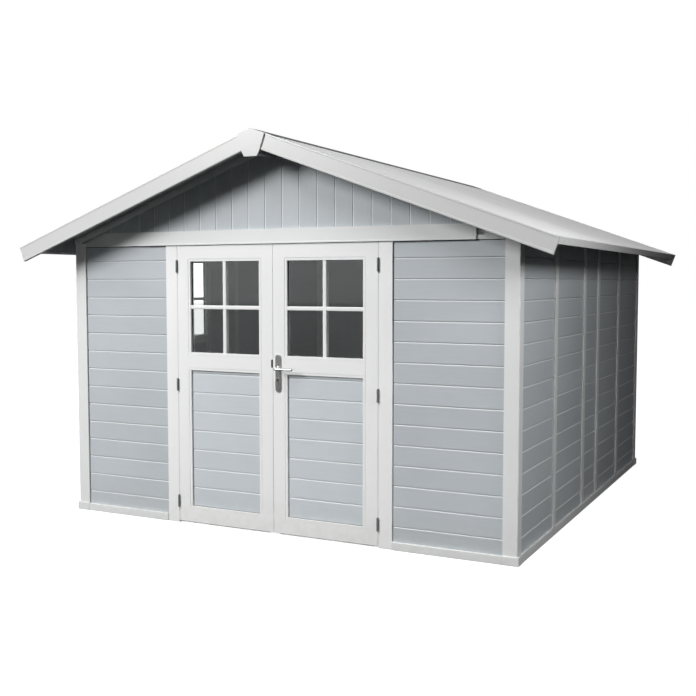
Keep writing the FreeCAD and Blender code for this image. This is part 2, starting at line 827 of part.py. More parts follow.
def leaf_frame(tag, side):
    """Stiles and rails of a leaf, mitred at its four corners."""
    base = S["leaf_base"]
    meeting = leaf_member(tag, side, "meeting_stile", [
        (LEAF_NEAR, base), (OPEN_NEAR, OPEN_BASE), (OPEN_NEAR, OPEN_TOP), (LEAF_NEAR, LEAF_TOP)])
    hanging = leaf_member(tag, side, "hanging_stile", [
        (LEAF_FAR, base), (OPEN_FAR, OPEN_BASE), (OPEN_FAR, OPEN_TOP), (LEAF_FAR, LEAF_TOP)])
    head = leaf_member(tag, side, "top_rail", [
        (LEAF_NEAR, LEAF_TOP), (LEAF_FAR, LEAF_TOP), (OPEN_FAR, OPEN_TOP), (OPEN_NEAR, OPEN_TOP)])
    foot = leaf_member(tag, side, "bottom_rail", [
        (LEAF_NEAR, base), (LEAF_FAR, base), (OPEN_FAR, OPEN_BASE), (OPEN_NEAR, OPEN_BASE)])
    lock_rail = block(f"{tag}_mid_rail", across(side, OPEN_NEAR, OPEN_FAR), (FRONT, LEAF_BACK),
                      (S["mid_rail_base"], GLASS_BASE))
    return meeting, hanging, head, foot, lock_rail


def ring(name, x, y, z, width):
    """A bead round the inside edge of an opening."""
    inside = (ordered(*x)[0] + width, ordered(*x)[1] - width)
    return carve(name, block(f"{name}_whole", x, y, z),
                 block(f"{name}_hole", inside, grown(y, 1), (z[0] + width, z[1] - width)))


def make_leaf(tag, side):
    """The frame's infill: panel, glass, bars, beads and the sweep under the leaf."""
    opening = across(side, OPEN_NEAR, OPEN_FAR)
    front_of = lambda near, far: (FRONT + near, FRONT + far)
    panel_face = S["leaf_panel_setback"]
    panel_back = panel_face + S["leaf_panel_thick"]
    base = OPEN_BASE + S["bead_wide"] - S["leaf_board_pitch"] / 2
    panel = boarded(f"{tag}_infill", "x", opening, front_of(panel_face, panel_back),
                    (OPEN_BASE, S["mid_rail_base"]), base, S["leaf_board_pitch"])
    bead = ring(f"{tag}_panel_bead", opening, front_of(S["bead_setback"], panel_face),
                (OPEN_BASE, S["mid_rail_base"]), S["bead_wide"])
    node(f"{tag}_door_panel", panel, bead)
    glass_back = S["glass_setback"] + S["glass_thick"]
    node(f"{tag}_door_glass", block(f"{tag}_pane", opening, front_of(S["glass_setback"], glass_back),
                                    (GLASS_BASE, OPEN_TOP)))
    bead_inner = (as_size(OPEN_NEAR) + S["bead_wide"], OPEN_FAR - S["bead_wide"])
    low = GLASS_BASE + S["bead_wide"]
    high = OPEN_TOP - S["bead_wide"]
    half = S["bar_wide"] / 2
    centre = (OPEN_NEAR + OPEN_FAR) / 2
    level = (GLASS_BASE + OPEN_TOP) / 2
    faces = (
        ("outer", front_of(S["bead_setback"], S["glass_setback"]),
         front_of(S["bar_front"], S["glass_setback"])),
        ("inner", (FRONT + glass_back, LEAF_BACK - S["bead_setback"]),
         (FRONT + glass_back, LEAF_BACK - S["bar_front"])),
    )
    pieces = []
    for face, bead_depth, bar_depth in faces:
        name = f"{tag}_{face}"
        pieces.append(ring(f"{name}_bead", opening, bead_depth, (GLASS_BASE, OPEN_TOP), S["bead_wide"]))
        pieces.append(block(f"{name}_level_bar", across(side, *bead_inner), bar_depth,
                            (level - half, level + half)))
        pieces.append(block(f"{name}_low_bar", across(side, centre - half, centre + half), bar_depth,
                            (low, level - half)))
        pieces.append(block(f"{name}_high_bar", across(side, centre - half, centre + half), bar_depth,
                            (level + half, high)))
    node(f"{tag}_glazing_bars", *pieces)
    middle = S["leaf_thick"] / 2
    node(f"{tag}_door_sweep", block(f"{tag}_sweep",
                                    across(side, LEAF_NEAR + S["sweep_inset"], LEAF_FAR - 3),
                                    front_of(middle - S["sweep_thick"] / 2,
                                             middle + S["sweep_thick"] / 2),
                                    (S["sweep_lift"], S["leaf_base"])))


def hinge_half(name, side, level, knuckles, plate_x):
    """Knuckles on the hinge line, joined by tabs to a plate in the gap beside the leaf."""
    tall = S["hinge_tall"] / 2
    pin = (PIN_X * side, PIN_Y)
    plate = across(side, *plate_x)
    pieces = [block(f"{name}_plate", plate, (FRONT + 0.5, FRONT + S["hinge_reach"]),
                    (level - tall, level + tall))]
    for number, (low, high) in enumerate(knuckles, start=1):
        pieces.append(rod(f"{name}_knuckle_{number}", "z", pin, (low, high), S["hinge_barrel"]))
        pieces.append(block(f"{name}_tab_{number}", plate, (PIN_Y + S["hinge_pin"] + 1, FRONT + 1),
                            (low, high)))
    bore = rod(f"{name}_bore", "z", pin, (level - tall - 1, level + tall + 1),
               S["hinge_pin"] + S["hinge_fit"])
    return carve(name, join(f"{name}_whole", *pieces), bore)


def make_hinges(tag, side):
    """Three butt hinges: two knuckles and the pin on the jamb, one knuckle on the leaf."""
    third = S["hinge_tall"] / 6
    tall = S["hinge_tall"] / 2
    on_jamb = []
    on_leaf = []
    for number, level in enumerate(HINGE_LEVELS, start=1):
        name = f"{tag}_hinge_{number}"
        outer_knuckles = [(level - tall, level - third), (level + third, level + tall)]
        inner_knuckle = [(level - third + S["hinge_step"], level + third - S["hinge_step"])]
        on_jamb.append(hinge_half(f"{name}_fixed", side, level, outer_knuckles,
                                  (DOOR_HALF - S["hinge_plate"], DOOR_HALF)))
        on_leaf.append(hinge_half(f"{name}_moving", side, level, inner_knuckle,
                                  (LEAF_FAR, LEAF_FAR + S["hinge_plate"])))
        pin = (PIN_X * side, PIN_Y)
        shank = rod(f"{name}_shank", "z", pin, (level - tall - 1, level + tall + 1), S["hinge_pin"])
        heads = [rod(f"{name}_head_{end}", "z", pin, ends, S["hinge_barrel"] - 1)
                 for end, ends in (("low", (level - tall - 3, level - tall)),
                                   ("high", (level + tall, level + tall + 3)))]
        on_jamb.append(join(f"{name}_pin", shank, *heads))
    node(f"{tag}_jamb_hinges", *on_jamb)
    node(f"{tag}_door_hinges", *on_leaf)


def bolt_guides_and_rods():
    """Upper and lower flush bolts on the inside of the left leaf, drawn back."""
    levels = {
        "upper": (LEAF_TOP - S["rod_length"] - 3, LEAF_TOP - 3),
        "lower": (S["rod_travel"] + 2, S["rod_length"] + S["rod_travel"] + 2),
    }
    half = S["guide_wide"] / 2
    guides = []
    for tag, (low, high) in levels.items():
        free_end, knob_end = (high, low) if tag == "upper" else (low, high)
        sense = 1 if tag == "upper" else -1
        knob = knob_end + S["guide_tall"] * sense
        shaft = rod(f"{tag}_shaft", "z", (ROD_X, ROD_Y), (low, high), S["rod_radius"])
        grip = rod(f"{tag}_grip", "y", (ROD_X, knob), (ROD_Y, ROD_Y + 20), S["rod_radius"] + 1)
        node(f"{tag}_bolt", join(f"{tag}_rod", shaft, grip))
        far_guide = knob + (S["rod_travel"] + S["guide_tall"] * 2) * sense
        near_guide = free_end - S["guide_tall"] * 2 * sense
        for number, middle in enumerate((far_guide, near_guide), start=1):
            name = f"{tag}_guide_{number}"
            body = block(f"{name}_block", (ROD_X - half, ROD_X + half),
                         (LEAF_BACK, LEAF_BACK + S["guide_deep"]),
                         (middle - S["guide_tall"] / 2, middle + S["guide_tall"] / 2))
            bore = rod(f"{name}_bore", "z", (ROD_X, ROD_Y),
                       (middle - S["guide_tall"], middle + S["guide_tall"]),
                       S["rod_radius"] + S["turn_fit"])
            guides.append(carve(name, body, bore))
    node("bolt_guides", *guides)


def make_left_leaf():
    """The passive leaf, with a keeper for the latch and a socket for the dead bolt."""
    meeting, *others = leaf_frame("left", -1)
    keeper_x = (-LEAF_NEAR - S["latch_reach"] - 2, as_size(0))
    keeper_z = (S["latch_height"] - S["latch_tall"] - 5, S["latch_height"] + S["latch_tall"] + 5)
    keeper = block("keeper", keeper_x, grown((FRONT, LEAF_BACK), 1), keeper_z)
    socket = block("bolt_socket", (-LEAF_NEAR - 22, as_size(0)), grown(BOLT_Y, 2),
                   grown((S["bolt_height"] - S["bolt_tall"] / 2, S["bolt_height"] + S["bolt_tall"] / 2), 3))
    node("left_door_frame", carve("left_meeting_cut", meeting, keeper, socket), *others)
    make_leaf("left", -1)
    make_hinges("left", -1)
    node("strike_plate", block("strike", (keeper_x[0], keeper_x[0] + 1.2),
                               (FRONT - 1, LEAF_BACK), keeper_z))
    bolt_guides_and_rods()


def slot_plate(name, y, holes):
    """A long round-ended plate behind the lever, with bores for the lever and the key."""
    radius = S["plate_radius"]
    reach = S["plate_length"] / 2 - radius
    middle = S["plate_middle"]
    whole = join(f"{name}_whole",
                 block(f"{name}_flat", (HANDLE_X - radius, HANDLE_X + radius), y,
                       (middle - reach, middle + reach)),
                 rod(f"{name}_top", "y", (HANDLE_X, middle + reach), y, radius),
                 rod(f"{name}_foot", "y", (HANDLE_X, middle - reach), y, radius))
    bores = [rod(f"{name}_bore_{number}", "y", (HANDLE_X, level), grown(y, 1), bore)
             for number, (level, bore) in enumerate(holes, start=1)]
    return carve(name, whole, *bores)


def make_right_leaf():
    """The active leaf, with its mortise lock."""
    meeting, *others = leaf_frame("right", 1)
    fit = S["slide_fit"]
    case_x = (LEAF_NEAR, LEAF_NEAR + S["case_deep"])
    case_z = (S["plate_middle"] - S["case_tall"] / 2, S["plate_middle"] + S["case_tall"] / 2)
    through = grown((FRONT, LEAF_BACK), 1)
    key_bore = S["key_radius"] + S["turn_fit"]
    mortise = block("mortise", (LEAF_NEAR - 1, case_x[1]), CASE_Y, case_z)
    spindle_hole = rod("spindle_hole", "y", (HANDLE_X, S["lever_height"]), through, S["neck_radius"] + 1)
    key_hole = rod("key_hole", "y", (HANDLE_X, S["key_height"]), through, key_bore)
    node("right_door_frame", carve("right_meeting_cut", meeting, mortise, spindle_hole, key_hole), *others)
    make_leaf("right", 1)
    make_hinges("right", 1)
    case = block("case_whole", case_x, CASE_Y, case_z)
    latch_z = (S["latch_height"] - S["latch_tall"] / 2, S["latch_height"] + S["latch_tall"] / 2)
    bolt_z = (S["bolt_height"] - S["bolt_tall"] / 2, S["bolt_height"] + S["bolt_tall"] / 2)
    channel_x = (LEAF_NEAR - 1, LEAF_NEAR + S["bolt_length"] + 2)
    node("lock_case", carve(
        "case_cut", case,
        block("latch_channel", channel_x, grown(BOLT_Y, fit), grown(latch_z, fit)),
        block("bolt_channel", channel_x, grown(BOLT_Y, fit), grown(bolt_z, fit)),
        rod("case_spindle", "y", (HANDLE_X, S["lever_height"]), through, S["neck_radius"] + 1),
        rod("case_key", "y", (HANDLE_X, S["key_height"]), through, key_bore)))
    outside = (FRONT - S["plate_thick"], FRONT)
    inside = (LEAF_BACK, LEAF_BACK + S["plate_thick"])
    holes = [(S["lever_height"], S["neck_radius"] + S["turn_fit"]), (S["key_height"], key_bore)]
    node("handle_plates", slot_plate("outer_plate", outside, holes),
         slot_plate("inner_plate", inside, holes))
    make_lock(latch_z, bolt_z)


def lever(name, start, bend):
    """One lever: a neck out of the plate, an elbow, and a round bar with a domed end."""
    height = S["lever_height"]
    radius = S["lever_radius"]
    end = HANDLE_X + S["lever_length"]
    return [
        rod(f"{name}_neck", "y", (HANDLE_X, height), (start, bend), S["neck_radius"]),
        ball(f"{name}_elbow", HANDLE_X, bend, height, S["neck_radius"]),
        rod(f"{name}_bar", "x", (bend, height), (HANDLE_X, end), radius),
        ball(f"{name}_end", end, bend, height, radius),
    ]


def make_lock(latch_z, bolt_z):
    """Lever handle, latch, key plug and dead bolt."""
    out = FRONT - S["plate_thick"] - S["lever_stand"]
    back = LEAF_BACK + S["plate_thick"] + S["lever_stand"]
    half = S["spindle"] / 2
    shank = block("spindle_bar", (HANDLE_X - half, HANDLE_X + half), (out, back),
                  (S["lever_height"] - half, S["lever_height"] + half))
    node("lever_handle", join("levers", shank, *lever("outside", FRONT, out),
                              *lever("inside", LEAF_BACK, back)))
    near, far = BOLT_Y
    tip = LEAF_NEAR - S["latch_reach"]
    tail = tip + S["bolt_length"]
    nose = [(tail, near), (tail, far), (LEAF_NEAR - 1, far), (tip, near + 3), (tip, near)]
    node("latch", prism("latch_bolt", "z", nose, latch_z))
    plug = rod("plug", "y", (HANDLE_X, S["key_height"]),
               (FRONT - S["plate_thick"] - 1.5, LEAF_BACK + S["plate_thick"] + 1.5), S["key_radius"])
    face = FRONT - S["plate_thick"] - 1.5
    slot = block("key_slot", (HANDLE_X - 1.2, HANDLE_X + 1.2), (face - 1, face + 5),
                 (S["key_height"] - 5, S["key_height"] + 5))
    node("key_plug", carve("plug_cut", plug, slot))
    node("dead_bolt", block("bolt", (LEAF_NEAR + 0.5, LEAF_NEAR + S["bolt_length"]), BOLT_Y, bolt_z))


make_base()
make_posts()
make_panels()
make_window()
make_headers()
make_gables()
make_frame()
make_roof()
make_left_leaf()
make_right_leaf()
doc.recompute()

faults = [item.Name for item in doc.Objects
          if "Invalid" in item.State or "Error" in item.State]
for part in nodes:
    if part.Shape.isNull() or not part.Shape.isValid() or not part.Shape.Solids:
        faults.append(part.Label)
if faults:
    raise RuntimeError("failed: " + ", ".join(faults))

os.makedirs("parts", exist_ok=True)
for part in nodes:
    part.Shape.exportStep(f"parts/{part.Label}.step")
    print(f"{part.Label}: {len(part.Shape.Solids)} solids, {part.Shape.Volume / 1e6:.3f} litres")
print(f"{len(nodes)} sub-parts")
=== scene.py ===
"""Looks of a PVC garden shed with a pair of glazed doors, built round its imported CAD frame."""

import math
import random

import bmesh
import bpy
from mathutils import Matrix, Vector


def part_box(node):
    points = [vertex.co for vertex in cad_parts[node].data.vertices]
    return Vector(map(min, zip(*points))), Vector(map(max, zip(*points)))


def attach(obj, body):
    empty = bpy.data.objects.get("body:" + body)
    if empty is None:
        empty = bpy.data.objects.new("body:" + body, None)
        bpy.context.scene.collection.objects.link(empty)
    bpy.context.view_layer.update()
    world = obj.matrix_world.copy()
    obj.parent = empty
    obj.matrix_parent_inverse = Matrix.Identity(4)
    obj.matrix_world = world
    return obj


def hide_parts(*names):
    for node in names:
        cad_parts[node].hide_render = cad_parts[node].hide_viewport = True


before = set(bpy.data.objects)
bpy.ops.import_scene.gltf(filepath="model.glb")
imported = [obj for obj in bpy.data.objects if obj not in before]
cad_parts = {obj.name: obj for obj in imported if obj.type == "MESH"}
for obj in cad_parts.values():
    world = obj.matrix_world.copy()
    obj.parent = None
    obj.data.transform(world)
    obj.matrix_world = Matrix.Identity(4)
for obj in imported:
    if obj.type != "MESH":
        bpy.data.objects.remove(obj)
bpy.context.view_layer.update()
dice = random.Random(11)

ROOF_ANGLE = math.radians(20.0)
RISE = math.tan(ROOF_ANGLE)
COS = math.cos(ROOF_ANGLE)
SIN = math.sin(ROOF_ANGLE)
SIDES = {"left": -1, "right": 1}
SMOOTH_ANGLE = math.radians(38.0)
EDGE_ANGLE = math.radians(30.0)
FLAT_ANGLE = math.radians(0.6)


# ---------------------------------------------------------------- materials


def new_material(name):
    """A node material with a plain shader wired to its output."""
    material = bpy.data.materials.new(name)
    material.use_nodes = True
    tree = material.node_tree
    tree.nodes.clear()
    output = tree.nodes.new("ShaderNodeOutputMaterial")
    shader = tree.nodes.new("ShaderNodeBsdfPrincipled")
    tree.links.new(shader.outputs[0], output.inputs["Surface"])
    return material, tree, shader


def noise(tree, scale, stretch=(1, 1, 1), detail=3.0, rough=0.5):
    """A noise in the piece's own coordinates."""
    place = tree.nodes.new("ShaderNodeTexCoord")
    mapping = tree.nodes.new("ShaderNodeMapping")
    mapping.inputs["Scale"].default_value = stretch
    texture = tree.nodes.new("ShaderNodeTexNoise")
    texture.inputs["Scale"].default_value = scale
    texture.inputs["Detail"].default_value = detail
    texture.inputs["Roughness"].default_value = rough
    tree.links.new(place.outputs["Object"], mapping.inputs["Vector"])
    tree.links.new(mapping.outputs[0], texture.inputs["Vector"])
    return texture.outputs["Fac"]


def stored(tree, name):
    """A value that the faces carry."""
    node = tree.nodes.new("ShaderNodeAttribute")
    node.attribute_name = name
    return node.outputs["Fac"]


def coordinates(tree, kind):
    """The x, y and z of a point, each as an output."""
    place = tree.nodes.new("ShaderNodeTexCoord")
    split = tree.nodes.new("ShaderNodeSeparateXYZ")
    tree.links.new(place.outputs[kind], split.inputs[0])
    return split.outputs


def span(tree, value, low, high, from_low=0.0, from_high=1.0):
    """Map a value from one range to another."""
    node = tree.nodes.new("ShaderNodeMapRange")
    node.inputs["From Min"].default_value = from_low
    node.inputs["From Max"].default_value = from_high
    node.inputs["To Min"].default_value = low
    node.inputs["To Max"].default_value = high
    tree.links.new(value, node.inputs["Value"])
    return node.outputs[0]


def join(tree, operation, first, second):
    """One math step on two values."""
    node = tree.nodes.new("ShaderNodeMath")
    node.operation = operation
    for socket, value in zip(node.inputs, (first, second)):
        if isinstance(value, (int, float)):
            socket.default_value = value
        else:
            tree.links.new(value, socket)
    return node.outputs[0]


def weigh(tree, first, first_share, second, second_share):
    """The sum of two values, each times its share."""
    parts = [join(tree, "MULTIPLY", first, first_share), join(tree, "MULTIPLY", second, second_share)]
    return join(tree, "ADD", *parts)


def blend_colours(tree, factor, first, second):
    """Mix two colours, each a tuple or an output."""
    node = tree.nodes.new("ShaderNodeMix")
    node.data_type = "RGBA"
    tree.links.new(factor, node.inputs[0])
    for socket, value in zip((node.inputs[6], node.inputs[7]), (first, second)):
        if isinstance(value, tuple):
            socket.default_value = (*value, 1.0)
        else:
            tree.links.new(value, socket)
    return node.outputs[2]


def scaled(colour, share):
    """A colour made lighter or darker."""
    return tuple(min(1.0, part * share) for part in colour)


def add_bump(tree, shader, height, strength, distance):
    """Feed a height into the shader's normal."""
    node = tree.nodes.new("ShaderNodeBump")
    node.inputs["Strength"].default_value = strength
    node.inputs["Distance"].default_value = distance
    tree.links.new(height, node.inputs["Height"])
    tree.links.new(node.outputs[0], shader.inputs["Normal"])


GRIME = scaled((0.42, 0.39, 0.34), 0.9)
GRIME_TOP = 0.32


def plastic(name, colour, run=None, swing=0.05, tone=0.0, gloss=(0.34, 0.5), relief=0.12, splash=0.10,
            painted_bevel_light=None):
    """Moulded or extruded PVC: faint blotches, lengthwise die lines, splashes low down.

    With tone each board has its own shade. With the last argument, the bevels at the board joints take that
    colour: a painted highlight where they tilt up to the light, partly the joints' own paler tone.
    """
    material, tree, shader = new_material(name)
    blotch = span(tree, noise(tree, 1.7, detail=4.0), -0.5, 0.5, 0.3, 0.7)
    stretch = {None: (1, 1, 1), "x": (0.03, 1, 1), "y": (1, 0.03, 1), "z": (1, 1, 0.03)}[run]
    lines = noise(tree, 210.0, stretch, 4.0, 0.6)
    streak = span(tree, lines, -0.5, 0.5, 0.25, 0.75)
    speck = noise(tree, 900.0, detail=2.0)
    total = weigh(tree, blotch, 0.55, streak, 0.45)
    if tone:
        total = join(tree, "ADD", total, join(tree, "MULTIPLY", stored(tree, "tone"), tone / swing))
    factor = join(tree, "ADD", total, 0.5)
    base = blend_colours(tree, factor, scaled(colour, 1 - swing), scaled(colour, 1 + swing))
    low = span(tree, coordinates(tree, "Object")["Z"], splash, 0.0, 0.0, GRIME_TOP)
    patches = span(tree, noise(tree, 14.0, detail=6.0, rough=0.65), 0.2, 1.8, 0.35, 0.65)
    base = blend_colours(tree, join(tree, "MULTIPLY", low, patches), base, GRIME)
    # Painted highlight: faces whose edge value is 1, the joint bevels, are made paler, partly the joints'
    # own paler tone.
    if painted_bevel_light:
        base = blend_colours(tree, stored(tree, "edge"), base, painted_bevel_light)
    tree.links.new(base, shader.inputs["Base Color"])
    rough = span(tree, weigh(tree, lines, 0.5, speck, 0.5), gloss[0], gloss[1], 0.3, 0.7)
    tree.links.new(rough, shader.inputs["Roughness"])
    height = join(tree, "ADD", lines, join(tree, "MULTIPLY", speck, 0.35))
    add_bump(tree, shader, height, relief, 0.0006)
    shader.inputs["Specular IOR Level"].default_value = 0.42
    return material


def metal(name, colour, rough, run, spangle=False):
    """Satin, galvanised or darkened metal with fine scratches."""
    material, tree, shader = new_material(name)
    stretch = {"y": (1, 0.02, 1), "z": (1, 1, 0.02)}[run]
    scratch = noise(tree, 900.0, stretch, 3.0, 0.7)
    stain = noise(tree, 22.0, detail=5.0)
    factor = span(tree, weigh(tree, scratch, 0.5, stain, 0.5), 0.0, 1.0, 0.3, 0.7)
    base = blend_colours(tree, factor, scaled(colour, 0.86), scaled(colour, 1.08))
    if spangle:
        place = tree.nodes.new("ShaderNodeTexCoord")
        cells = tree.nodes.new("ShaderNodeTexVoronoi")
        cells.inputs["Scale"].default_value = 130.0
        tree.links.new(place.outputs["Object"], cells.inputs["Vector"])
        grey = tree.nodes.new("ShaderNodeRGBToBW")
        tree.links.new(cells.outputs["Color"], grey.inputs[0])
        base = blend_colours(tree, span(tree, grey.outputs[0], 0.0, 0.55), base, scaled(colour, 0.7))
    tree.links.new(base, shader.inputs["Base Color"])
    tree.links.new(span(tree, scratch, rough - 0.08, rough + 0.12, 0.3, 0.7), shader.inputs["Roughness"])
    shader.inputs["Metallic"].default_value = 1.0
    add_bump(tree, shader, scratch, 0.25, 0.0002)
    return material


def coated(name, colour, gloss=(0.4, 0.55), grain=1400.0, relief=0.3):
    """Powder coat, rubber or bristle: one colour with a fine orange-peel skin."""
    material, tree, shader = new_material(name)
    skin = noise(tree, grain, detail=2.0)
    cloud = noise(tree, 35.0, detail=5.0)
    mixed = weigh(tree, skin, 0.4, cloud, 0.6)
    factor = span(tree, mixed, 0.0, 1.0, 0.3, 0.7)
    base = blend_colours(tree, factor, scaled(colour, 0.8), scaled(colour, 1.2))
    tree.links.new(base, shader.inputs["Base Color"])
    tree.links.new(span(tree, mixed, gloss[0], gloss[1], 0.3, 0.7), shader.inputs["Roughness"])
    add_bump(tree, shader, skin, relief, 0.0003)
    return material


GLASS_IOR = 1.5


def pane(name):
    """Clear float glass with faint smears."""
    material, tree, shader = new_material(name)
    smear = noise(tree, 6.0, (1, 1, 0.5), 5.0, 0.6)
    cloud = span(tree, smear, 0.0, 1.0, 0.35, 0.65)
    tint = blend_colours(tree, cloud, (0.93, 0.955, 0.95), (0.965, 0.98, 0.975))
    tree.links.new(tint, shader.inputs["Base Color"])
    tree.links.new(span(tree, smear, 0.0, 0.035, 0.4, 0.7), shader.inputs["Roughness"])
    shader.inputs["Transmission Weight"].default_value = 1.0
    shader.inputs["IOR"].default_value = GLASS_IOR
    wave = noise(tree, 2.2, detail=1.0)
    add_bump(tree, shader, wave, 0.05, 0.002)
    return material


WALL = (0.50, 0.535, 0.56)
TRIM = (0.76, 0.77, 0.765)
WHITE = (0.86, 0.865, 0.86)
BARGE = (0.59, 0.595, 0.59)
SHEET = (0.80, 0.805, 0.80)
# dark grey of the roof's underside skin: painted shade under the roof, the sheets themselves being white
UNDERSIDE_SHADE = (0.40, 0.42, 0.43)
# Paler colour of the board joints' bevels: a painted highlight where they tilt up to the light, partly the
# joints' own paler tone.
PAINTED_BEVEL_LIGHT = (0.60, 0.62, 0.635)
MATERIALS = {
    "wall_x": plastic("wall_boards_x", WALL, "x", swing=0.07, tone=0.018, painted_bevel_light=PAINTED_BEVEL_LIGHT),
    "wall_y": plastic("wall_boards_y", WALL, "y", swing=0.07, tone=0.018, painted_bevel_light=PAINTED_BEVEL_LIGHT),
    # The gable's upright joints get an even paler painted highlight.
    "wall_z": plastic("wall_boards_z", WALL, "z", swing=0.07, tone=0.018, painted_bevel_light=scaled(PAINTED_BEVEL_LIGHT, 1.25)),
    "door_x": plastic("door_boards_x", scaled(WALL, 1.16), "x", swing=0.06, tone=0.014, painted_bevel_light=PAINTED_BEVEL_LIGHT),
    "trim": plastic("trim_profile", TRIM, swing=0.03, gloss=(0.3, 0.42), relief=0.05, splash=0.06),
    "jamb": plastic("jamb_profile", WHITE, swing=0.03, gloss=(0.3, 0.42), relief=0.05, splash=0.05),
    "barge": plastic("barge_profile", BARGE, swing=0.02, gloss=(0.26, 0.38), relief=0.05),
    "white": plastic("white_profile", WHITE, swing=0.02, gloss=(0.22, 0.34), relief=0.04, splash=0.08),
    "roof": plastic("roof_sheet", SHEET, "x", swing=0.05, tone=0.02, gloss=(0.36, 0.5)),
    "underside_shade": plastic("roof_underside_shade", UNDERSIDE_SHADE, "x", swing=0.06, tone=0.02, gloss=(0.5, 0.62)),
    "glass": pane("clear_glass"),
    "grey": coated("grey_coat", (0.15, 0.153, 0.157)),
    "zinc": metal("zinc_coat", (0.60, 0.62, 0.63), 0.42, "y", spangle=True),
    "steel": metal("satin_metal", (0.56, 0.56, 0.555), 0.30, "z"),
    # the key plug's metal is darkened almost to black: painted shade of the keyhole
    "shaded_plug": metal("key_plug_painted_shade", (0.14, 0.13, 0.11), 0.30, "y"),
    "rubber": coated("black_rubber", (0.022, 0.022, 0.023), (0.55, 0.75), 1800.0, 0.4),
}


# ---------------------------------------------------------------- mesh helpers


def new_mesh():
    """A working mesh whose faces carry a tone and whether they take the painted highlight of the joint
    bevels.
    """
    work = bmesh.new()
    work.faces.layers.float.new("tone")
    work.faces.layers.float.new("edge")
    return work


def add_solid(work, rings, tone=0.0, closed=False, lit_bevels=()):
    """Skin a row of equal rings of points into one closed solid, with end faces or joined end to end.

    Sides whose place in the outline is listed in the last argument are marked for the painted highlight on
    the joint bevels.
    """
    layer = work.faces.layers.float["tone"]
    bevel_light_layer = work.faces.layers.float["edge"]
    rows = [[work.verts.new(point) for point in ring] for ring in rings]
    count = len(rows[0])
    pairs = list(zip(rows, rows[1:])) + ([(rows[-1], rows[0])] if closed else [])
    faces = [
        work.faces.new((a[i], a[(i + 1) % count], b[(i + 1) % count], b[i]))
        for a, b in pairs
        for i in range(count)
    ]
    for place in range(len(faces)):
        # marks the sides that take the painted highlight of the joint bevels
        faces[place][bevel_light_layer] = 1.0 if place % count in lit_bevels else 0.0
    if not closed:
        faces += [work.faces.new(rows[0][::-1]), work.faces.new(rows[-1])]
    for face in faces:
        face[layer] = tone


def soften(work, width, segments):
    """Round the sharp edges."""
    edges = [e for e in work.edges if len(e.link_faces) == 2 and e.calc_face_angle(0.0) > EDGE_ANGLE]
    bmesh.ops.bevel(work, geom=edges, offset=width, offset_type="OFFSET", segments=segments,
                    profile=0.5, affect="EDGES", clamp_overlap=True)


def linked(name, work):
    """An object made from a working mesh, with its faces turned outward."""
    bmesh.ops.recalc_face_normals(work, faces=work.faces)
    mesh = bpy.data.meshes.new(name)
    work.to_mesh(mesh)
    work.free()
    made = bpy.data.objects.new(name, mesh)
    bpy.context.scene.collection.objects.link(made)
    return made


def piece(name, work, look, body="root", replaces=(), edge=0.0, segments=2):
    """Finish a working mesh as a named piece that rides on a body."""
    if edge:
        soften(work, edge, segments)
    made = linked(name, work)
    mesh = made.data
    mesh.polygons.foreach_set("use_smooth", [True] * len(mesh.polygons))
    mesh.set_sharp_from_angle(angle=SMOOTH_ANGLE)
    mesh.materials.append(MATERIALS[look])
    weighted = made.modifiers.new("even_normals", "WEIGHTED_NORMAL")
    weighted.keep_sharp = True
    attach(made, body)
    if replaces:
        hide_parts(*replaces)


def cad_solids(node):
    """The separate solids of a CAD node: points, faces, and the lowest and highest corners of each."""
    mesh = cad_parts[node].data
    index, points = {}, []
    for vertex in mesh.vertices:
        key = tuple(round(c, 5) for c in vertex.co)
        if key not in index:
            index[key] = len(points)
            points.append(vertex.co.copy())
    weld = [index[tuple(round(c, 5) for c in vertex.co)] for vertex in mesh.vertices]
    parent = list(range(len(points)))

    def root(item):
        """The point that stands for all points joined to this one."""
        while parent[item] != item:
            parent[item] = parent[parent[item]]
            item = parent[item]
        return item

    faces = [[weld[i] for i in polygon.vertices] for polygon in mesh.polygons]
    for face in faces:
        for item in face[1:]:
            parent[root(item)] = root(face[0])
    groups = {}
    for face in faces:
        groups.setdefault(root(face[0]), []).append(face)
    found = []
    for members in groups.values():
        used = sorted({i for face in members for i in face})
        order = {old: new for new, old in enumerate(used)}
        spots = [points[i] for i in used]
        low = Vector([min(p[k] for p in spots) for k in range(3)])
        high = Vector([max(p[k] for p in spots) for k in range(3)])
        found.append((spots, [[order[i] for i in face] for face in members], low, high))
    found.sort(key=lambda solid: tuple(round(c, 4) for c in solid[2]))
    return found


def from_cad(node):
    """A working mesh of a CAD node's solids, with their flat faces made whole."""
    work = new_mesh()
    for points, faces, _low, _high in cad_solids(node):
        verts = [work.verts.new(point) for point in points]
        for face in faces:
            if len(set(face)) > 2:
                work.faces.new([verts[i] for i in face])
    bmesh.ops.dissolve_limit(work, angle_limit=FLAT_ANGLE, verts=work.verts, edges=work.edges)
    return work


def refined(node, look, edge, segments=2, body="root"):
    """A CAD node rebuilt with rounded edges."""
    piece(f"{node}_piece", from_cad(node), look, body, [node], edge, segments)


def block(work, low, high):
    """One box, to be rounded with the rest of its piece."""
    ring = [(low[0], low[1]), (high[0], low[1]), (high[0], high[1]), (low[0], high[1])]
    add_solid(work, [[Vector((x, y, z)) for x, y in ring] for z in (low[2], high[2])])


def tube(work, points, radii, sides):
    """A lying rod along points with a radius at each, closed at both ends."""
    rings = []
    for i, point in enumerate(points):
        before, after = points[max(i - 1, 0)], points[min(i + 1, len(points) - 1)]
        along = (after - before).normalized()
        across = along.cross(Vector((0, 0, 1))).normalized()
        over = across.cross(along)
        rings.append([
            point + radii[i] * (math.cos(a) * across + math.sin(a) * over)
            for a in (2 * math.pi * k / sides for k in range(sides))
        ])
    add_solid(work, rings)


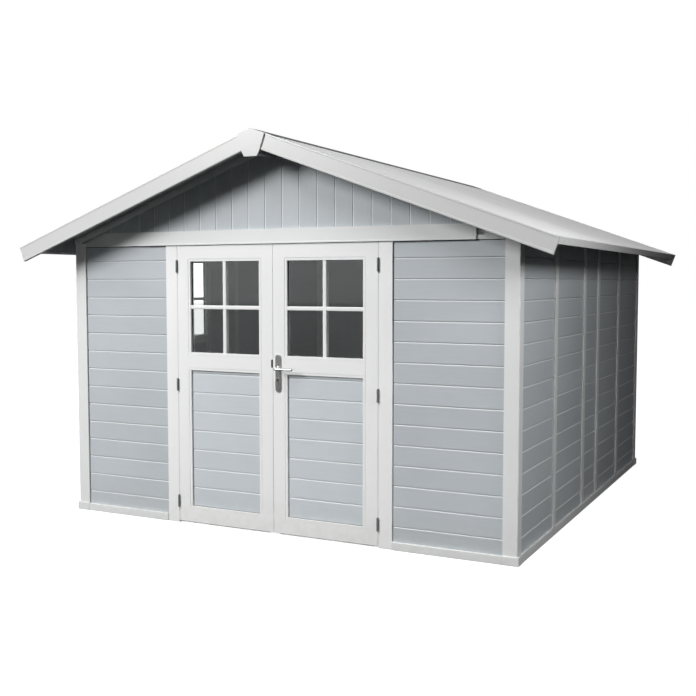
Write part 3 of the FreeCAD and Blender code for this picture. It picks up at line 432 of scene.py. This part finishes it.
def knob(work, centre, axis, profile, sides=28):
    """A turned part: rings of (distance along the axis, radius)."""
    axis = Vector(axis).normalized()
    side = axis.orthogonal().normalized()
    over = axis.cross(side)
    add_solid(work, [
        [centre + axis * along + radius * (math.cos(a) * side + math.sin(a) * over)
         for a in (2 * math.pi * k / sides for k in range(sides))]
        for along, radius in profile
    ])


def screw(work, centre, axis):
    """A pan-head screw with a slot."""
    radius, proud = 0.0035, 0.0014
    axis = Vector(axis).normalized()
    knob(work, centre, axis, [(-0.001, radius), (proud * 0.35, radius), (proud * 0.7, radius * 0.86)], 18)
    side = axis.orthogonal().normalized()
    over = axis.cross(side)
    for sign in (-1, 1):
        arc = [sign * (radius * 0.82) * (math.cos(a) * side + math.sin(a) * over) for a in
               (math.pi * k / 9 for k in range(10))]
        gap = over * sign * radius * 0.13
        add_solid(work, [[centre + axis * proud * 0.65 + p + gap for p in arc],
                         [centre + axis * proud + p * 0.82 + gap for p in arc]])


def hollowed(work, boxes):
    """Cut boxes, each a low and a high corner, out of a working mesh."""
    host = linked("hollowed", work)
    tools = []
    for low, high in boxes:
        shape = new_mesh()
        block(shape, low, high)
        tools.append(linked("hollow_tool", shape))
        cut = host.modifiers.new("cut", "BOOLEAN")
        cut.operation = "DIFFERENCE"
        cut.solver = "EXACT"
        cut.object = tools[-1]
    shown = bpy.context.evaluated_depsgraph_get()
    result = bpy.data.meshes.new_from_object(host.evaluated_get(shown))
    work = new_mesh()
    work.from_mesh(result)
    for thing in [host] + tools:
        data = thing.data
        bpy.data.objects.remove(thing)
        bpy.data.meshes.remove(data)
    bpy.data.meshes.remove(result)
    return work


def clip(points, limit, above):
    """Cut an outline of (depth, position, painted-highlight flag) points by position."""
    kept = []
    for a, b in zip(points, points[1:] + points[:1]):
        inside_a, inside_b = ((a[1] >= limit) == above), ((b[1] >= limit) == above)
        if inside_a:
            kept.append(a)
        if inside_a != inside_b:
            share = (limit - a[1]) / (b[1] - a[1])
            kept.append((a[0] + share * (b[0] - a[0]), limit, a[2] and inside_b))
    return kept


# ---------------------------------------------------------------- boards

# height of the gap at a board's foot, height and depth of the bevel at its top, depth of the tongue
LYING_JOINT = (0.0020, 0.0066, 0.0036, 0.0060)
UPRIGHT_JOINT = (0.0006, 0.0070, 0.0023, 0.0032)
FACE_EASE = 0.0009
BACK_EASE = 0.0016


def board_outline(start, pitch, thick, joint):
    """A board's section as (depth behind its face, position across the boards, whether the side is a joint
    bevel that takes the painted highlight).
    """
    end = start + pitch
    lip, tall, deep, tongue = joint
    return [
        (tongue, start, False), (tongue - 0.002, start + lip, False), (FACE_EASE, start + lip, False),
        (0.0, start + lip + FACE_EASE, False), (0.0, end - tall - 0.0006, False), (0.0008, end - tall, True),
        (deep, end - 0.0010, False), (tongue, end, False), (thick - BACK_EASE, end, False),
        (thick, end - BACK_EASE, False), (thick, start + BACK_EASE, False),
        (thick - BACK_EASE, start, False),
    ]


def cut_boards(low, high, first, pitch, thick, joint):
    """Each board's outline between two limits, with its tone."""
    start = first + pitch * math.floor((low - first) / pitch + 1e-6)
    while start < high - 1e-4:
        outline = clip(clip(board_outline(start, pitch, thick, joint), low, True), high, False)
        if len(outline) > 2:
            yield outline, dice.uniform(-1.0, 1.0)
        start += pitch


def lying_boards(work, low, high, out, first, pitch):
    """Boards that lie level, facing out along x or y."""
    axis = 0 if abs(out[0]) else 1
    sign = out[axis]
    face = high[axis] if sign > 0 else low[axis]
    thick = high[axis] - low[axis]
    run = 1 - axis
    for outline, tone in cut_boards(low[2], high[2], first, pitch, thick, LYING_JOINT):
        rings = []
        for end in (low[run], high[run]):
            ring = []
            for depth, z, _lit_bevel in outline:
                point = Vector((0, 0, z))
                point[axis] = face - sign * depth
                point[run] = end
                ring.append(point)
            rings.append(ring)
        add_solid(work, rings, tone, lit_bevels=[i for i, point in enumerate(outline) if point[2]])


BOARD_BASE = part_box("left_front_panel")[0].z
BOARD_PITCH = 0.1215
LEAF_PITCH = 0.1245
# width and set-back of the black strips along the front panels' left and top edges: painted shadow of the
# posts and header
SHADOW_STRIP_WIDE = 0.0045
SHADOW_STRIP_BACK = 0.002

for node, out, look in (
    ("left_front_panel", (0, -1, 0), "wall_x"),
    ("right_front_panel", (0, -1, 0), "wall_x"),
    ("left_wall_panels", (-1, 0, 0), "wall_y"),
    ("right_wall_panels", (1, 0, 0), "wall_y"),
    ("rear_wall_panels", (0, 1, 0), "wall_x"),
):
    work = new_mesh()
    shadow_strip = new_mesh()
    for _points, _faces, low, high in cad_solids(node):
        if "front" in node:
            # painted shadow: a black rubber strip along the panel's left and top edge, the boards made
            # narrower and lower by its width
            near, far = low.y + SHADOW_STRIP_BACK, high.y - SHADOW_STRIP_BACK
            block(shadow_strip, (low.x, near, low.z), (low.x + SHADOW_STRIP_WIDE, far, high.z))
            block(shadow_strip, (low.x + SHADOW_STRIP_WIDE, near, high.z - SHADOW_STRIP_WIDE), (high.x, far, high.z))
            low, high = low + Vector((SHADOW_STRIP_WIDE, 0, 0)), high - Vector((0, 0, SHADOW_STRIP_WIDE))
        lying_boards(work, low, high, out, BOARD_BASE, BOARD_PITCH)
    piece(f"{node}_boards", work, look, replaces=[node])
    if shadow_strip.verts:
        piece(f"{node}_seal", shadow_strip, "rubber", edge=0.0005, segments=1)
    else:
        shadow_strip.free()


# the gable's boards start this many boards left of the ridge, so that one has its middle there
GABLE_START = 12.5
BEYOND = 9.0


def gable(node, sign):
    """Upright boards under the roof, notched for the ridge beam."""
    low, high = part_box(node)
    beam_low, beam_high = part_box("ridge_beam")
    peak = low.z + RISE * high.x
    face = low.y if sign < 0 else high.y
    work = new_mesh()
    thick = high.y - low.y
    first = -GABLE_START * BOARD_PITCH
    for outline, tone in cut_boards(-high.x, high.x, first, BOARD_PITCH, thick, UPRIGHT_JOINT):
        for left, right in ((-BEYOND, beam_low.x), (beam_low.x, beam_high.x), (beam_high.x, BEYOND)):
            part = clip(clip(outline, left, True), right, False)
            if len(part) < 3:
                continue
            middle = left == beam_low.x
            bottom, top = [], []
            for depth, across, _lit_bevel in part:
                x, y = sign * across, face - sign * depth
                reach = beam_low.z if middle else peak - RISE * abs(across)
                bottom.append(Vector((x, y, low.z)))
                top.append(Vector((x, y, max(reach, low.z + 0.0004))))
            add_solid(work, [bottom, top], tone, lit_bevels=[i for i, point in enumerate(part) if point[2]])
    piece(f"{node}_boards", work, "wall_z", replaces=[node])


gable("front_gable", -1)
gable("rear_gable", 1)


# ---------------------------------------------------------------- roof


def on_slope(side, top, reach, y, drop):
    """Two ends of a line that runs down one slope: at the ridge and, cut square, at the eave."""
    eave = top - RISE * reach
    return (Vector((0, y, top - drop / COS)),
            Vector((side * (reach - drop * SIN), y, eave - drop * COS)))


def down_slope(work, side, top, reach, outline, tone=0.0):
    """Stretch an outline of (y, depth under the top line) from ridge to eave."""
    ends = [on_slope(side, top, reach, y, drop) for y, drop in outline]
    add_solid(work, [[end[0] for end in ends], [end[1] for end in ends]], tone)


SHEET_THICK = 0.034
SHEET_EASE = 0.003
STRIPS = 5
GROOVE_HALF = 0.0035
GROOVE_DEEP = 0.0022
SKIN = 0.002

for label, side in SIDES.items():
    work = new_mesh()
    shade_sheet = new_mesh()
    node = f"{label}_roof_panels"
    for _points, _faces, low, high in cad_solids(node):
        width = (high.y - low.y) / STRIPS
        outline = [(low.y, SHEET_EASE), (low.y + SHEET_EASE, 0.0)]
        for strip in range(1, STRIPS):
            middle = low.y + strip * width
            outline += [(middle - GROOVE_HALF, 0.0), (middle, GROOVE_DEEP), (middle + GROOVE_HALF, 0.0)]
        outline += [(high.y - SHEET_EASE, 0.0), (high.y, SHEET_EASE),
                    (high.y, SHEET_THICK - SKIN), (low.y, SHEET_THICK - SKIN)]
        reach = max(abs(low.x), abs(high.x))
        tone = dice.uniform(-1.0, 1.0)
        down_slope(work, side, high.z, reach, outline, tone)
        # each sheet's underside skin is a separate darker sheet: painted shade under the roof
        under = [(low.y + SKIN, SHEET_THICK - SKIN), (high.y - SKIN, SHEET_THICK - SKIN),
                 (high.y - SKIN * 1.5, SHEET_THICK), (low.y + SKIN * 1.5, SHEET_THICK)]
        down_slope(shade_sheet, side, high.z, reach, under, tone)
    piece(f"{node}_sheets", work, "roof", replaces=[node])
    piece(f"{node}_underside_shade", shade_sheet, "underside_shade")

# the barge board's face is a shallow tray between two rims
BARGE_TALL = 0.100
BARGE_EASE = 0.003
BARGE_BACK_EASE = 0.0015
TRAY_DEEP = 0.0016

for node, sign in (("front_barge_boards", -1), ("rear_barge_boards", 1)):
    low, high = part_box(node)
    face, back = (low.y, high.y) if sign < 0 else (high.y, low.y)
    rounded, tray = face - sign * 0.0008, face - sign * TRAY_DEEP
    work = new_mesh()
    outline = [
        (back, BARGE_BACK_EASE), (back + sign * BARGE_BACK_EASE, 0.0), (face - sign * BARGE_EASE, 0.0),
        (rounded, 0.0009), (face, BARGE_EASE), (face, 0.0085), (tray, 0.0105), (tray, BARGE_TALL - 0.0135),
        (face, BARGE_TALL - 0.0115), (face, BARGE_TALL - BARGE_EASE), (rounded, BARGE_TALL - 0.0009),
        (face - sign * BARGE_EASE, BARGE_TALL), (back + sign * BARGE_BACK_EASE, BARGE_TALL),
        (back, BARGE_TALL - BARGE_BACK_EASE),
    ]
    for side in (-1, 1):
        down_slope(work, side, high.z, high.x, outline)
    piece(f"{node}_piece", work, "barge", replaces=[node])

refined("ridge_end_caps", "barge", 0.0025, 3)
refined("ridge_cap", "grey", 0.0012)
refined("ridge_beam", "zinc", 0.002)
for label in SIDES:
    refined(f"{label}_eave_trim", "white", 0.0012)
refined("gable_trims", "trim", 0.0015)


# ---------------------------------------------------------------- walls and base

for node, edge in (
    ("front_corner_posts", 0.0018), ("rear_corner_posts", 0.0018), ("left_wall_posts", 0.0015),
    ("right_wall_posts", 0.0015), ("rear_wall_posts", 0.0015), ("front_base_rails", 0.003),
    ("side_base_rails", 0.003), ("rear_base_rail", 0.003), ("corner_shoes", 0.003),
    ("door_stops", 0.0015),
    ("front_header", 0.0018), ("rear_header", 0.0018), ("header_brackets", 0.0012), ("wall_plates", 0.0015),
):
    refined(node, "trim", edge)
for label in SIDES:
    refined(f"{label}_door_jamb", "jamb", 0.003)


# ---------------------------------------------------------------- frames and glazing

FRAME_ROUND = 0.003
BEAD = 0.017
BEAD_STEP = 0.0015
BAR_STEP = 0.004
BAR_WIDE = 0.025
BOARD_STEP = 0.014
GASKET_WIDE = 0.003
GASKET_TALL = 0.0035
# keeps two faces from lying in one plane
HAIR = 0.0004


def ring_at(plane, rect, offset, depth):
    """The four corners of a rectangle (u0, v0, u1, v1) moved inward by an offset, at a depth."""
    u0, v0, u1, v1 = rect
    corners = [(u0 + offset, v0 + offset), (u1 - offset, v0 + offset),
               (u1 - offset, v1 - offset), (u0 + offset, v1 - offset)]
    if plane == "xz":
        return [Vector((u, depth, v)) for u, v in corners]
    return [Vector((depth, u, v)) for u, v in corners]


def mitred(work, plane, outer, inner, section):
    """Sweep a section round a rectangle: points are (on the outer or inner rectangle, inset, depth)."""
    rings = [
        ring_at(plane, outer if edge == "o" else inner, inset if edge == "o" else -inset, depth)
        for edge, inset, depth in section
    ]
    add_solid(work, rings, closed=True)


def frame_section(front, back):
    """A hollow frame's outline with eased corners."""
    way = 1 if back > front else -1
    ease = FRAME_ROUND * 0.3
    return [
        ("o", 0.0, front + way * FRAME_ROUND), ("o", ease, front + way * ease), ("o", FRAME_ROUND, front),
        ("i", FRAME_ROUND, front), ("i", ease, front + way * ease), ("i", 0.0, front + way * FRAME_ROUND),
        ("i", 0.0, back - way * 0.002), ("i", 0.002, back),
        ("o", 0.002, back), ("o", 0.0, back - way * 0.002),
    ]


def bead_section(front, glass):
    """A flat glazing bead with an eased edge towards the glass."""
    way = 1 if glass > front else -1
    return [
        ("o", 0.0, glass), ("o", 0.0003, front + way * 0.0014), ("o", 0.0012, front),
        ("i", 0.0028, front), ("i", 0.0008, front + way * 0.0008), ("i", 0.0, front + way * 0.0026),
        ("i", 0.0, glass),
    ]


def gasket_section(front, glass):
    """A rubber line between bead and glass."""
    return [("o", -0.001, glass), ("o", -0.001, front), ("i", 0.001, front), ("i", 0.0, glass)]


def shrunk(rect, by):
    """A rectangle with each side moved in."""
    u0, v0, u1, v1 = rect
    return (u0 + by, v0 + by, u1 - by, v1 - by)


def bar(work, plane, lying, middle, start, end, front, glass):
    """A glazing bar with a flat middle and sloping sides."""
    way = 1 if glass > front else -1
    half = BAR_WIDE / 2
    section = [(-half, glass), (-half, front + way * 0.0034), (-half * 0.80, front + way * 0.0008),
               (-half * 0.66, front), (half * 0.66, front), (half * 0.80, front + way * 0.0008),
               (half, front + way * 0.0034), (half, glass)]
    rings = []
    for stop in (start, end):
        ring = []
        for across, depth in section:
            u, v = (stop, middle + across) if lying else (middle + across, stop)
            ring.append(Vector((u, depth, v)) if plane == "xz" else Vector((depth, u, v)))
        rings.append(ring)
    add_solid(work, rings)


def cross_bars(work, plane, opening, front, glass):
    """A level bar and, a hair deeper, an upright one through the middle of an opening."""
    u0, v0, u1, v1 = opening
    under = front + HAIR * (1 if glass > front else -1)
    bar(work, plane, True, (v0 + v1) / 2, u0, u1, front, glass)
    bar(work, plane, False, (u0 + u1) / 2, v0, v1, under, glass)


def rect_of(node, plane="xz"):
    """A node's outline in a plane."""
    low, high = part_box(node)
    u = 0 if plane == "xz" else 1
    return (low[u], low.z, high[u], high.z)


HOLDER_INSET = 0.004
HOLDER_TALL = 0.0042
TUFT_MARGIN = 0.003
TUFT_ROOT = 0.003


def brush_strip(label, body):
    """A holder under a leaf with a row of uneven tufts, each thinner at its tip."""
    low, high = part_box(f"{label}_door_sweep")
    work = new_mesh()
    block(work, (low.x, low.y + HOLDER_INSET, high.z - HOLDER_TALL), (high.x, high.y - HOLDER_INSET, high.z))
    soften(work, 0.001, 1)
    spot = low.x + TUFT_MARGIN
    while spot < high.x - TUFT_MARGIN:
        half = dice.uniform(0.0010, 0.0022)
        tip = low.z + dice.uniform(0.0, 0.0035)
        lean = dice.uniform(-0.0015, 0.0015)
        y = (low.y + high.y) / 2 + dice.uniform(-0.004, 0.002)
        corners = ((-1, -1), (1, -1), (1, 1), (-1, 1))
        root = [Vector((spot + a * half, y + b * half, high.z - TUFT_ROOT)) for a, b in corners]
        ends = [Vector((spot + lean + a * half * 0.5, y - 0.002 + b * half * 0.5, tip)) for a, b in corners]
        add_solid(work, [root, ends])
        spot += dice.uniform(0.0024, 0.0044)
    piece(f"{label}_brush_strip", work, "rubber", body, [f"{label}_door_sweep"])


# hollows in the leaves' edges for the keeper, the dead bolt and the lock case
SOCKET_DEEP = 0.022
SOCKET_ROOM = 0.001
room = Vector((0.0, SOCKET_ROOM, SOCKET_ROOM))
strike_low, strike_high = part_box("strike_plate")
bolt_low, bolt_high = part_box("dead_bolt")
meeting_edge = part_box("left_door_frame")[1].x + SOCKET_ROOM
sockets = [
    (Vector((strike_low.x, strike_low.y - SOCKET_ROOM, strike_low.z)),
     Vector((meeting_edge, strike_high.y + SOCKET_ROOM, strike_high.z))),
    (Vector((meeting_edge - SOCKET_DEEP, bolt_low.y, bolt_low.z)) - room,
     Vector((meeting_edge, bolt_high.y, bolt_high.z)) + room),
]
case_low, case_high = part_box("lock_case")
LEAF_HOLLOWS = {"left": sockets, "right": [(case_low - Vector((SOCKET_ROOM, 0, 0)), case_high)]}

for label in SIDES:
    body = f"{label}_door"
    low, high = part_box(f"{label}_door_frame")
    glass_low, glass_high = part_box(f"{label}_door_glass")
    panel_low, panel_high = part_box(f"{label}_door_panel")
    whole = rect_of(f"{label}_door_frame")
    opening = rect_of(f"{label}_door_glass")
    lower = rect_of(f"{label}_door_panel")
    inner = (opening[0], lower[1], opening[2], opening[3])

    work = new_mesh()
    mitred(work, "xz", whole, inner, frame_section(low.y, high.y))
    work = hollowed(work, LEAF_HOLLOWS[label])
    rail = new_mesh()
    block(rail, (inner[0], low.y, lower[3]), (inner[2], high.y, opening[1]))
    soften(rail, 0.0016, 2)
    held = bpy.data.meshes.new("rail")
    rail.to_mesh(held)
    rail.free()
    work.from_mesh(held)
    bpy.data.meshes.remove(held)
    piece(f"{label}_leaf_frame", work, "white", body, [f"{label}_door_frame"])

    work = new_mesh()
    boards_front = low.y + BOARD_STEP
    lying_boards(work, Vector((panel_low.x, boards_front, panel_low.z)), panel_high, (0, -1, 0),
                 panel_low.z + BEAD, LEAF_PITCH)
    piece(f"{label}_leaf_boards", work, "door_x", body, [f"{label}_door_panel"])

    clear = shrunk(opening, BEAD)
    bead_front, bead_back = low.y + BEAD_STEP, high.y - BEAD_STEP
    work = new_mesh()
    for front, glass in ((bead_front, glass_low.y), (bead_back, glass_high.y)):
        mitred(work, "xz", opening, clear, bead_section(front, glass))
    mitred(work, "xz", lower, shrunk(lower, BEAD), bead_section(bead_front, boards_front + HAIR))
    for front, glass in ((low.y + BAR_STEP, glass_low.y), (high.y - BAR_STEP, glass_high.y)):
        cross_bars(work, "xz", clear, front, glass)
    piece(f"{label}_leaf_beads", work, "white", body, [f"{label}_glazing_bars"])

    work = new_mesh()
    for glass, rise in ((glass_low.y, -GASKET_TALL), (glass_high.y, GASKET_TALL)):
        mitred(work, "xz", clear, shrunk(clear, GASKET_WIDE), gasket_section(glass + rise, glass))
    mitred(work, "xz", shrunk(lower, BEAD), shrunk(lower, BEAD + 0.0025),
           gasket_section(boards_front - 0.0016, boards_front + 0.001))
    piece(f"{label}_leaf_gaskets", work, "rubber", body)
    refined(f"{label}_door_glass", "glass", 0.0006, 1, body)

    brush_strip(label, body)

# weather seals that close the gaps round the leaves
GAP_SEAL_STEP = 0.0016
GAP_SEAL_BACK = 0.030
leaf_low, leaf_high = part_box("left_door_frame")
jamb_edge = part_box("left_door_jamb")[1].x
header_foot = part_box("front_header")[0].z
for label, side in SIDES.items():
    work = new_mesh()
    near, far = sorted((side * (abs(leaf_low.x) + HAIR), side * abs(jamb_edge)))
    block(work, (near, leaf_low.y + GAP_SEAL_STEP, leaf_low.z),
          (far, leaf_low.y + GAP_SEAL_BACK, leaf_high.z))
    piece(f"{label}_jamb_seal", work, "trim", edge=0.0005, segments=1)
work = new_mesh()
block(work, (leaf_low.x, leaf_low.y + GAP_SEAL_STEP, leaf_high.z + HAIR),
      (-leaf_low.x, leaf_low.y + GAP_SEAL_BACK, header_foot))
piece("head_seal", work, "trim", edge=0.0005, segments=1)
work = new_mesh()
block(work, (leaf_high.x, leaf_low.y + 0.003, leaf_low.z + 0.002),
      (HAIR, leaf_low.y + 0.012, leaf_high.z - 0.002))
piece("meeting_seal", work, "trim", "left_door", edge=0.0004, segments=1)

# side window
BAR_THICK = 0.008
SEAL_THICK = 0.004
SILL_FALL = 0.006
glass_low, glass_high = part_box("window_glass")
boxes = [(low, high) for _points, _faces, low, high in cad_solids("window_frame")]
outer_low, outer_high = max(boxes, key=lambda box: box[1].z - box[0].z)
sill_low, sill_high = min(boxes, key=lambda box: box[0].z)
opening = rect_of("window_glass", "yz")
work = new_mesh()
mitred(work, "yz", (outer_low.y, outer_low.z, outer_high.y, outer_high.z),
       (opening[0], opening[1] + 0.0002, opening[2], opening[3]), frame_section(outer_low.x, outer_high.x))
slope = [(sill_low.x, sill_low.z), (sill_high.x, sill_low.z), (sill_high.x, sill_high.z),
         (outer_low.x + 0.004, sill_high.z), (sill_low.x, sill_high.z - SILL_FALL)]
add_solid(work, [[Vector((x, y, z)) for x, z in slope] for y in (sill_low.y, sill_high.y)])
for front, glass in ((glass_low.x - BAR_THICK, glass_low.x), (glass_high.x + BAR_THICK, glass_high.x)):
    cross_bars(work, "yz", opening, front, glass)
piece("window_frame_piece", work, "white", replaces=["window_frame"])
work = new_mesh()
for front, glass in ((glass_low.x - SEAL_THICK, glass_low.x), (glass_high.x + SEAL_THICK, glass_high.x)):
    mitred(work, "yz", opening, shrunk(opening, SEAL_THICK), gasket_section(front, glass))
piece("window_gaskets", work, "rubber")
refined("window_glass", "glass", 0.0006, 1)


# ---------------------------------------------------------------- ironmongery

for label in SIDES:
    body = f"{label}_door"
    refined(f"{label}_door_hinges", "grey", 0.0006, 1, body)
    refined(f"{label}_jamb_hinges", "grey", 0.0006, 1)

PLATE_CORNERS = 48
PLATE_EASE = 0.0022
SCREW_INSET = 0.016
LEVER_COLLAR = [(-0.001, 0.0145), (0.0012, 0.0145), (0.0022, 0.0125)]
KEY_COLLAR = [(-0.001, 0.0118), (0.0008, 0.0118), (0.0013, 0.0104)]
LEVER_RADIUS = 0.0084
NECK_RADIUS = 0.0080
BEND_START = 0.0078
BEND = 0.013
WAIST = 0.0006


def handle_plate(work, screws, low, high, sign):
    """A round-ended plate with a collar at the lever, one at the key and a screw near each end."""
    wall, face = (high.y, low.y) if sign < 0 else (low.y, high.y)
    centre_x, radius = (low.x + high.x) / 2, (high.x - low.x) / 2
    rings = []
    for inset, depth in ((0.0, wall), (0.0, face - sign * PLATE_EASE),
                         (0.0007, face - sign * 0.0008), (PLATE_EASE, face)):
        ring = []
        for k in range(PLATE_CORNERS):
            a = 2 * math.pi * k / PLATE_CORNERS
            end = high.z - radius if math.sin(a) >= 0 else low.z + radius
            r = radius - inset
            ring.append(Vector((centre_x + r * math.cos(a), depth, end + r * math.sin(a))))
        rings.append(ring)
    add_solid(work, rings)
    out = (0, sign, 0)
    knob(work, Vector((centre_x, face, lever_z)), out, LEVER_COLLAR)
    knob(work, Vector((centre_x, face, plug_z)), out, KEY_COLLAR)
    for z in (low.z + SCREW_INSET, high.z - SCREW_INSET):
        screw(screws, Vector((centre_x, face, z)), out)


def lever(work, neck, foot, reach, sign):
    """A round lever: a neck out of the plate, a quarter bend, an arm with a slight waist, a domed end."""
    line = reach - sign * LEVER_RADIUS
    path = [Vector((neck, foot - sign * 0.004, lever_z)), Vector((neck, foot + sign * 0.004, lever_z)),
            Vector((neck, line - sign * BEND, lever_z))]
    radii = [0.0088, NECK_RADIUS, BEND_START]
    for k in range(1, 7):
        a = math.pi / 2 * k / 6
        along, short = BEND * (1 - math.cos(a)), sign * BEND * (1 - math.sin(a))
        path.append(Vector((neck + along, line - short, lever_z)))
        radii.append(BEND_START + WAIST * k / 6)
    tip = lever_high.x - LEVER_RADIUS
    for share in (0.25, 0.5, 0.75, 1.0):
        path.append(Vector((neck + BEND + (tip - neck - BEND) * share, line, lever_z)))
        radii.append(LEVER_RADIUS - WAIST * math.sin(math.pi * share))
    for a in (25, 45, 62, 76, 86):
        path.append(Vector((tip + LEVER_RADIUS * math.sin(math.radians(a)) * 0.98, line, lever_z)))
        radii.append(LEVER_RADIUS * math.cos(math.radians(a)))
    tube(work, path, radii, 28)


plates = [(low, high) for _points, _faces, low, high in cad_solids("handle_plates")]
lever_low, lever_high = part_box("lever_handle")
plug_low, plug_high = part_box("key_plug")
lever_z = (lever_low.z + lever_high.z) / 2
plug_z = (plug_low.z + plug_high.z) / 2
work = new_mesh()
screws = new_mesh()
for low, high in plates:
    handle_plate(work, screws, low, high, -1 if low.y < leaf_low.y else 1)
piece("handle_plate_pair", work, "steel", "right_door", ["handle_plates"])
piece("handle_plate_screws", screws, "steel", "right_door")

work = new_mesh()
outer, inner = plates[0], plates[-1]
neck = (outer[0].x + outer[1].x) / 2
lever(work, neck, outer[0].y, lever_low.y, -1)
lever(work, neck, inner[1].y, lever_high.y, 1)
piece("lever_pair", work, "steel", "handle", ["lever_handle"])

# the key plug is darkened as painted shade of the keyhole
refined("key_plug", "shaded_plug", 0.0006, 1, "key_plug")
refined("latch", "steel", 0.0008, 2, "latch")
refined("dead_bolt", "steel", 0.0012, 2, "dead_bolt")
refined("strike_plate", "steel", 0.0004, 1, "left_door")
refined("bolt_guides", "steel", 0.0012, 2, "left_door")
refined("upper_bolt", "steel", 0.0006, 1, "upper_bolt")
refined("lower_bolt", "steel", 0.0006, 1, "lower_bolt")
refined("lock_case", "steel", 0.0008, 1, "right_door")


# ---------------------------------------------------------------- stage, lights, camera

FLOOR_RADIUS = 70.0
FLOOR_GREY = (0.40, 0.40, 0.40)
FLOOR_PALE = (0.43, 0.43, 0.43)
CAMERA_DOWN = 3.826
CAMERA_TURN = 26.632

floor_mesh = bmesh.new()
bmesh.ops.create_circle(floor_mesh, cap_ends=True, segments=96, radius=FLOOR_RADIUS)
floor_data = bpy.data.meshes.new("floor")
floor_mesh.to_mesh(floor_data)
floor_mesh.free()
floor = bpy.data.objects.new("floor", floor_data)
bpy.context.scene.collection.objects.link(floor)
floor.location.z = -0.0005
material, tree, shader = new_material("pale_floor")
shade = blend_colours(tree, noise(tree, 0.8, detail=3.0), FLOOR_GREY, FLOOR_PALE)
tree.links.new(shade, shader.inputs["Base Color"])
shader.inputs["Roughness"].default_value = 0.9
shader.inputs["Specular IOR Level"].default_value = 0.0
shader.inputs["Emission Color"].default_value = (1.0, 1.0, 1.0, 1.0)
place = tree.nodes.new("ShaderNodeTexCoord")
length = tree.nodes.new("ShaderNodeVectorMath")
length.operation = "LENGTH"
tree.links.new(place.outputs["Object"], length.inputs[0])
glow = span(tree, length.outputs["Value"], 0.94, 1.05, 3.0, 12.0)
tree.links.new(glow, shader.inputs["Emission Strength"])
floor_data.materials.append(material)
floor.visible_diffuse = False
floor.visible_glossy = False

# white to the camera and through glass, a dim dome to diffuse rays, a grey gradient to mirror rays
world = bpy.data.worlds.new("studio")
bpy.context.scene.world = world
world.use_nodes = True
tree = world.node_tree
tree.nodes.clear()
surface = tree.nodes.new("ShaderNodeOutputWorld")
path = tree.nodes.new("ShaderNodeLightPath")
way = coordinates(tree, "Generated")
dome = span(tree, way["Z"], 0.018, 0.042, -0.1, 0.6)
mirror = join(tree, "MULTIPLY", span(tree, way["Z"], 0.04, 0.37, -0.06, 0.02),
              span(tree, way["Y"], 1.0, 0.3, -0.2, 0.3))
mirrored = join(tree, "MULTIPLY", mirror, path.outputs["Is Glossy Ray"])
through = join(tree, "MULTIPLY", path.outputs["Is Transmission Ray"], 2.0)
seen = join(tree, "MAXIMUM", path.outputs["Is Camera Ray"], through)
strength = join(tree, "MAXIMUM", seen, join(tree, "MAXIMUM", dome, mirrored))
background = tree.nodes.new("ShaderNodeBackground")
background.inputs["Color"].default_value = (1.0, 1.0, 1.0, 1.0)
tree.links.new(strength, background.inputs["Strength"])
tree.links.new(background.outputs[0], surface.inputs["Surface"])


def softbox(name, place, target, size, power, fan=180.0, mirrored=True):
    """A square area light aimed at a point, with how widely it fans out and whether it is mirrored."""
    data = bpy.data.lights.new(name, "AREA")
    data.size = size
    data.energy = power
    data.spread = math.radians(fan)
    lamp = bpy.data.objects.new(name, data)
    lamp.location = place
    lamp.rotation_euler = (Vector(target) - Vector(place)).to_track_quat("-Z", "Y").to_euler()
    lamp.visible_camera = False
    lamp.visible_glossy = mirrored
    bpy.context.scene.collection.objects.link(lamp)


softbox("key", (-4.4, -8.5, 5.2), (0.0, -1.7, 1.3), 2.6, 585.0)
softbox("front_top", (-0.6, -6.2, 7.4), (0.0, -1.7, 0.8), 3.5, 302.0)
softbox("side_fill", (4.3, -2.2, 3.05), (1.7, -2.6, -0.3), 1.0, 61.0, 140.0, False)
softbox("roof_fill", (1.4, 1.4, 7.0), (1.4, 0.4, 2.0), 2.5, 110.0, 180.0, False)
softbox("rear_fill", (-5.5, 6.5, 4.0), (-0.4, 1.0, 0.6), 3.0, 360.0, 180.0, False)
softbox("inside", (0.3, -0.3, 2.05), (-0.6, 1.0, 0.9), 0.6, 0.7, 180.0, False)
softbox("low_left", (-1.3, -7.5, 0.3), (-1.3, -1.7, 0.1), 1.5, 3.2, 44.0, False)
softbox("low_right", (1.6, -7.5, 0.3), (1.4, -1.7, 0.1), 1.5, 3.2, 44.0, False)

bpy.context.scene.view_settings.view_transform = "Standard"

camera_data = bpy.data.cameras.new("camera")
camera_data.lens = 50.834
camera_data.sensor_width = 36.0
camera = bpy.data.objects.new("camera", camera_data)
camera.location = (3.1413, -6.9452, 1.5796)
camera.rotation_euler = (math.radians(90 - CAMERA_DOWN), 0.0, math.radians(CAMERA_TURN))
bpy.context.scene.collection.objects.link(camera)
bpy.context.scene.camera = camera
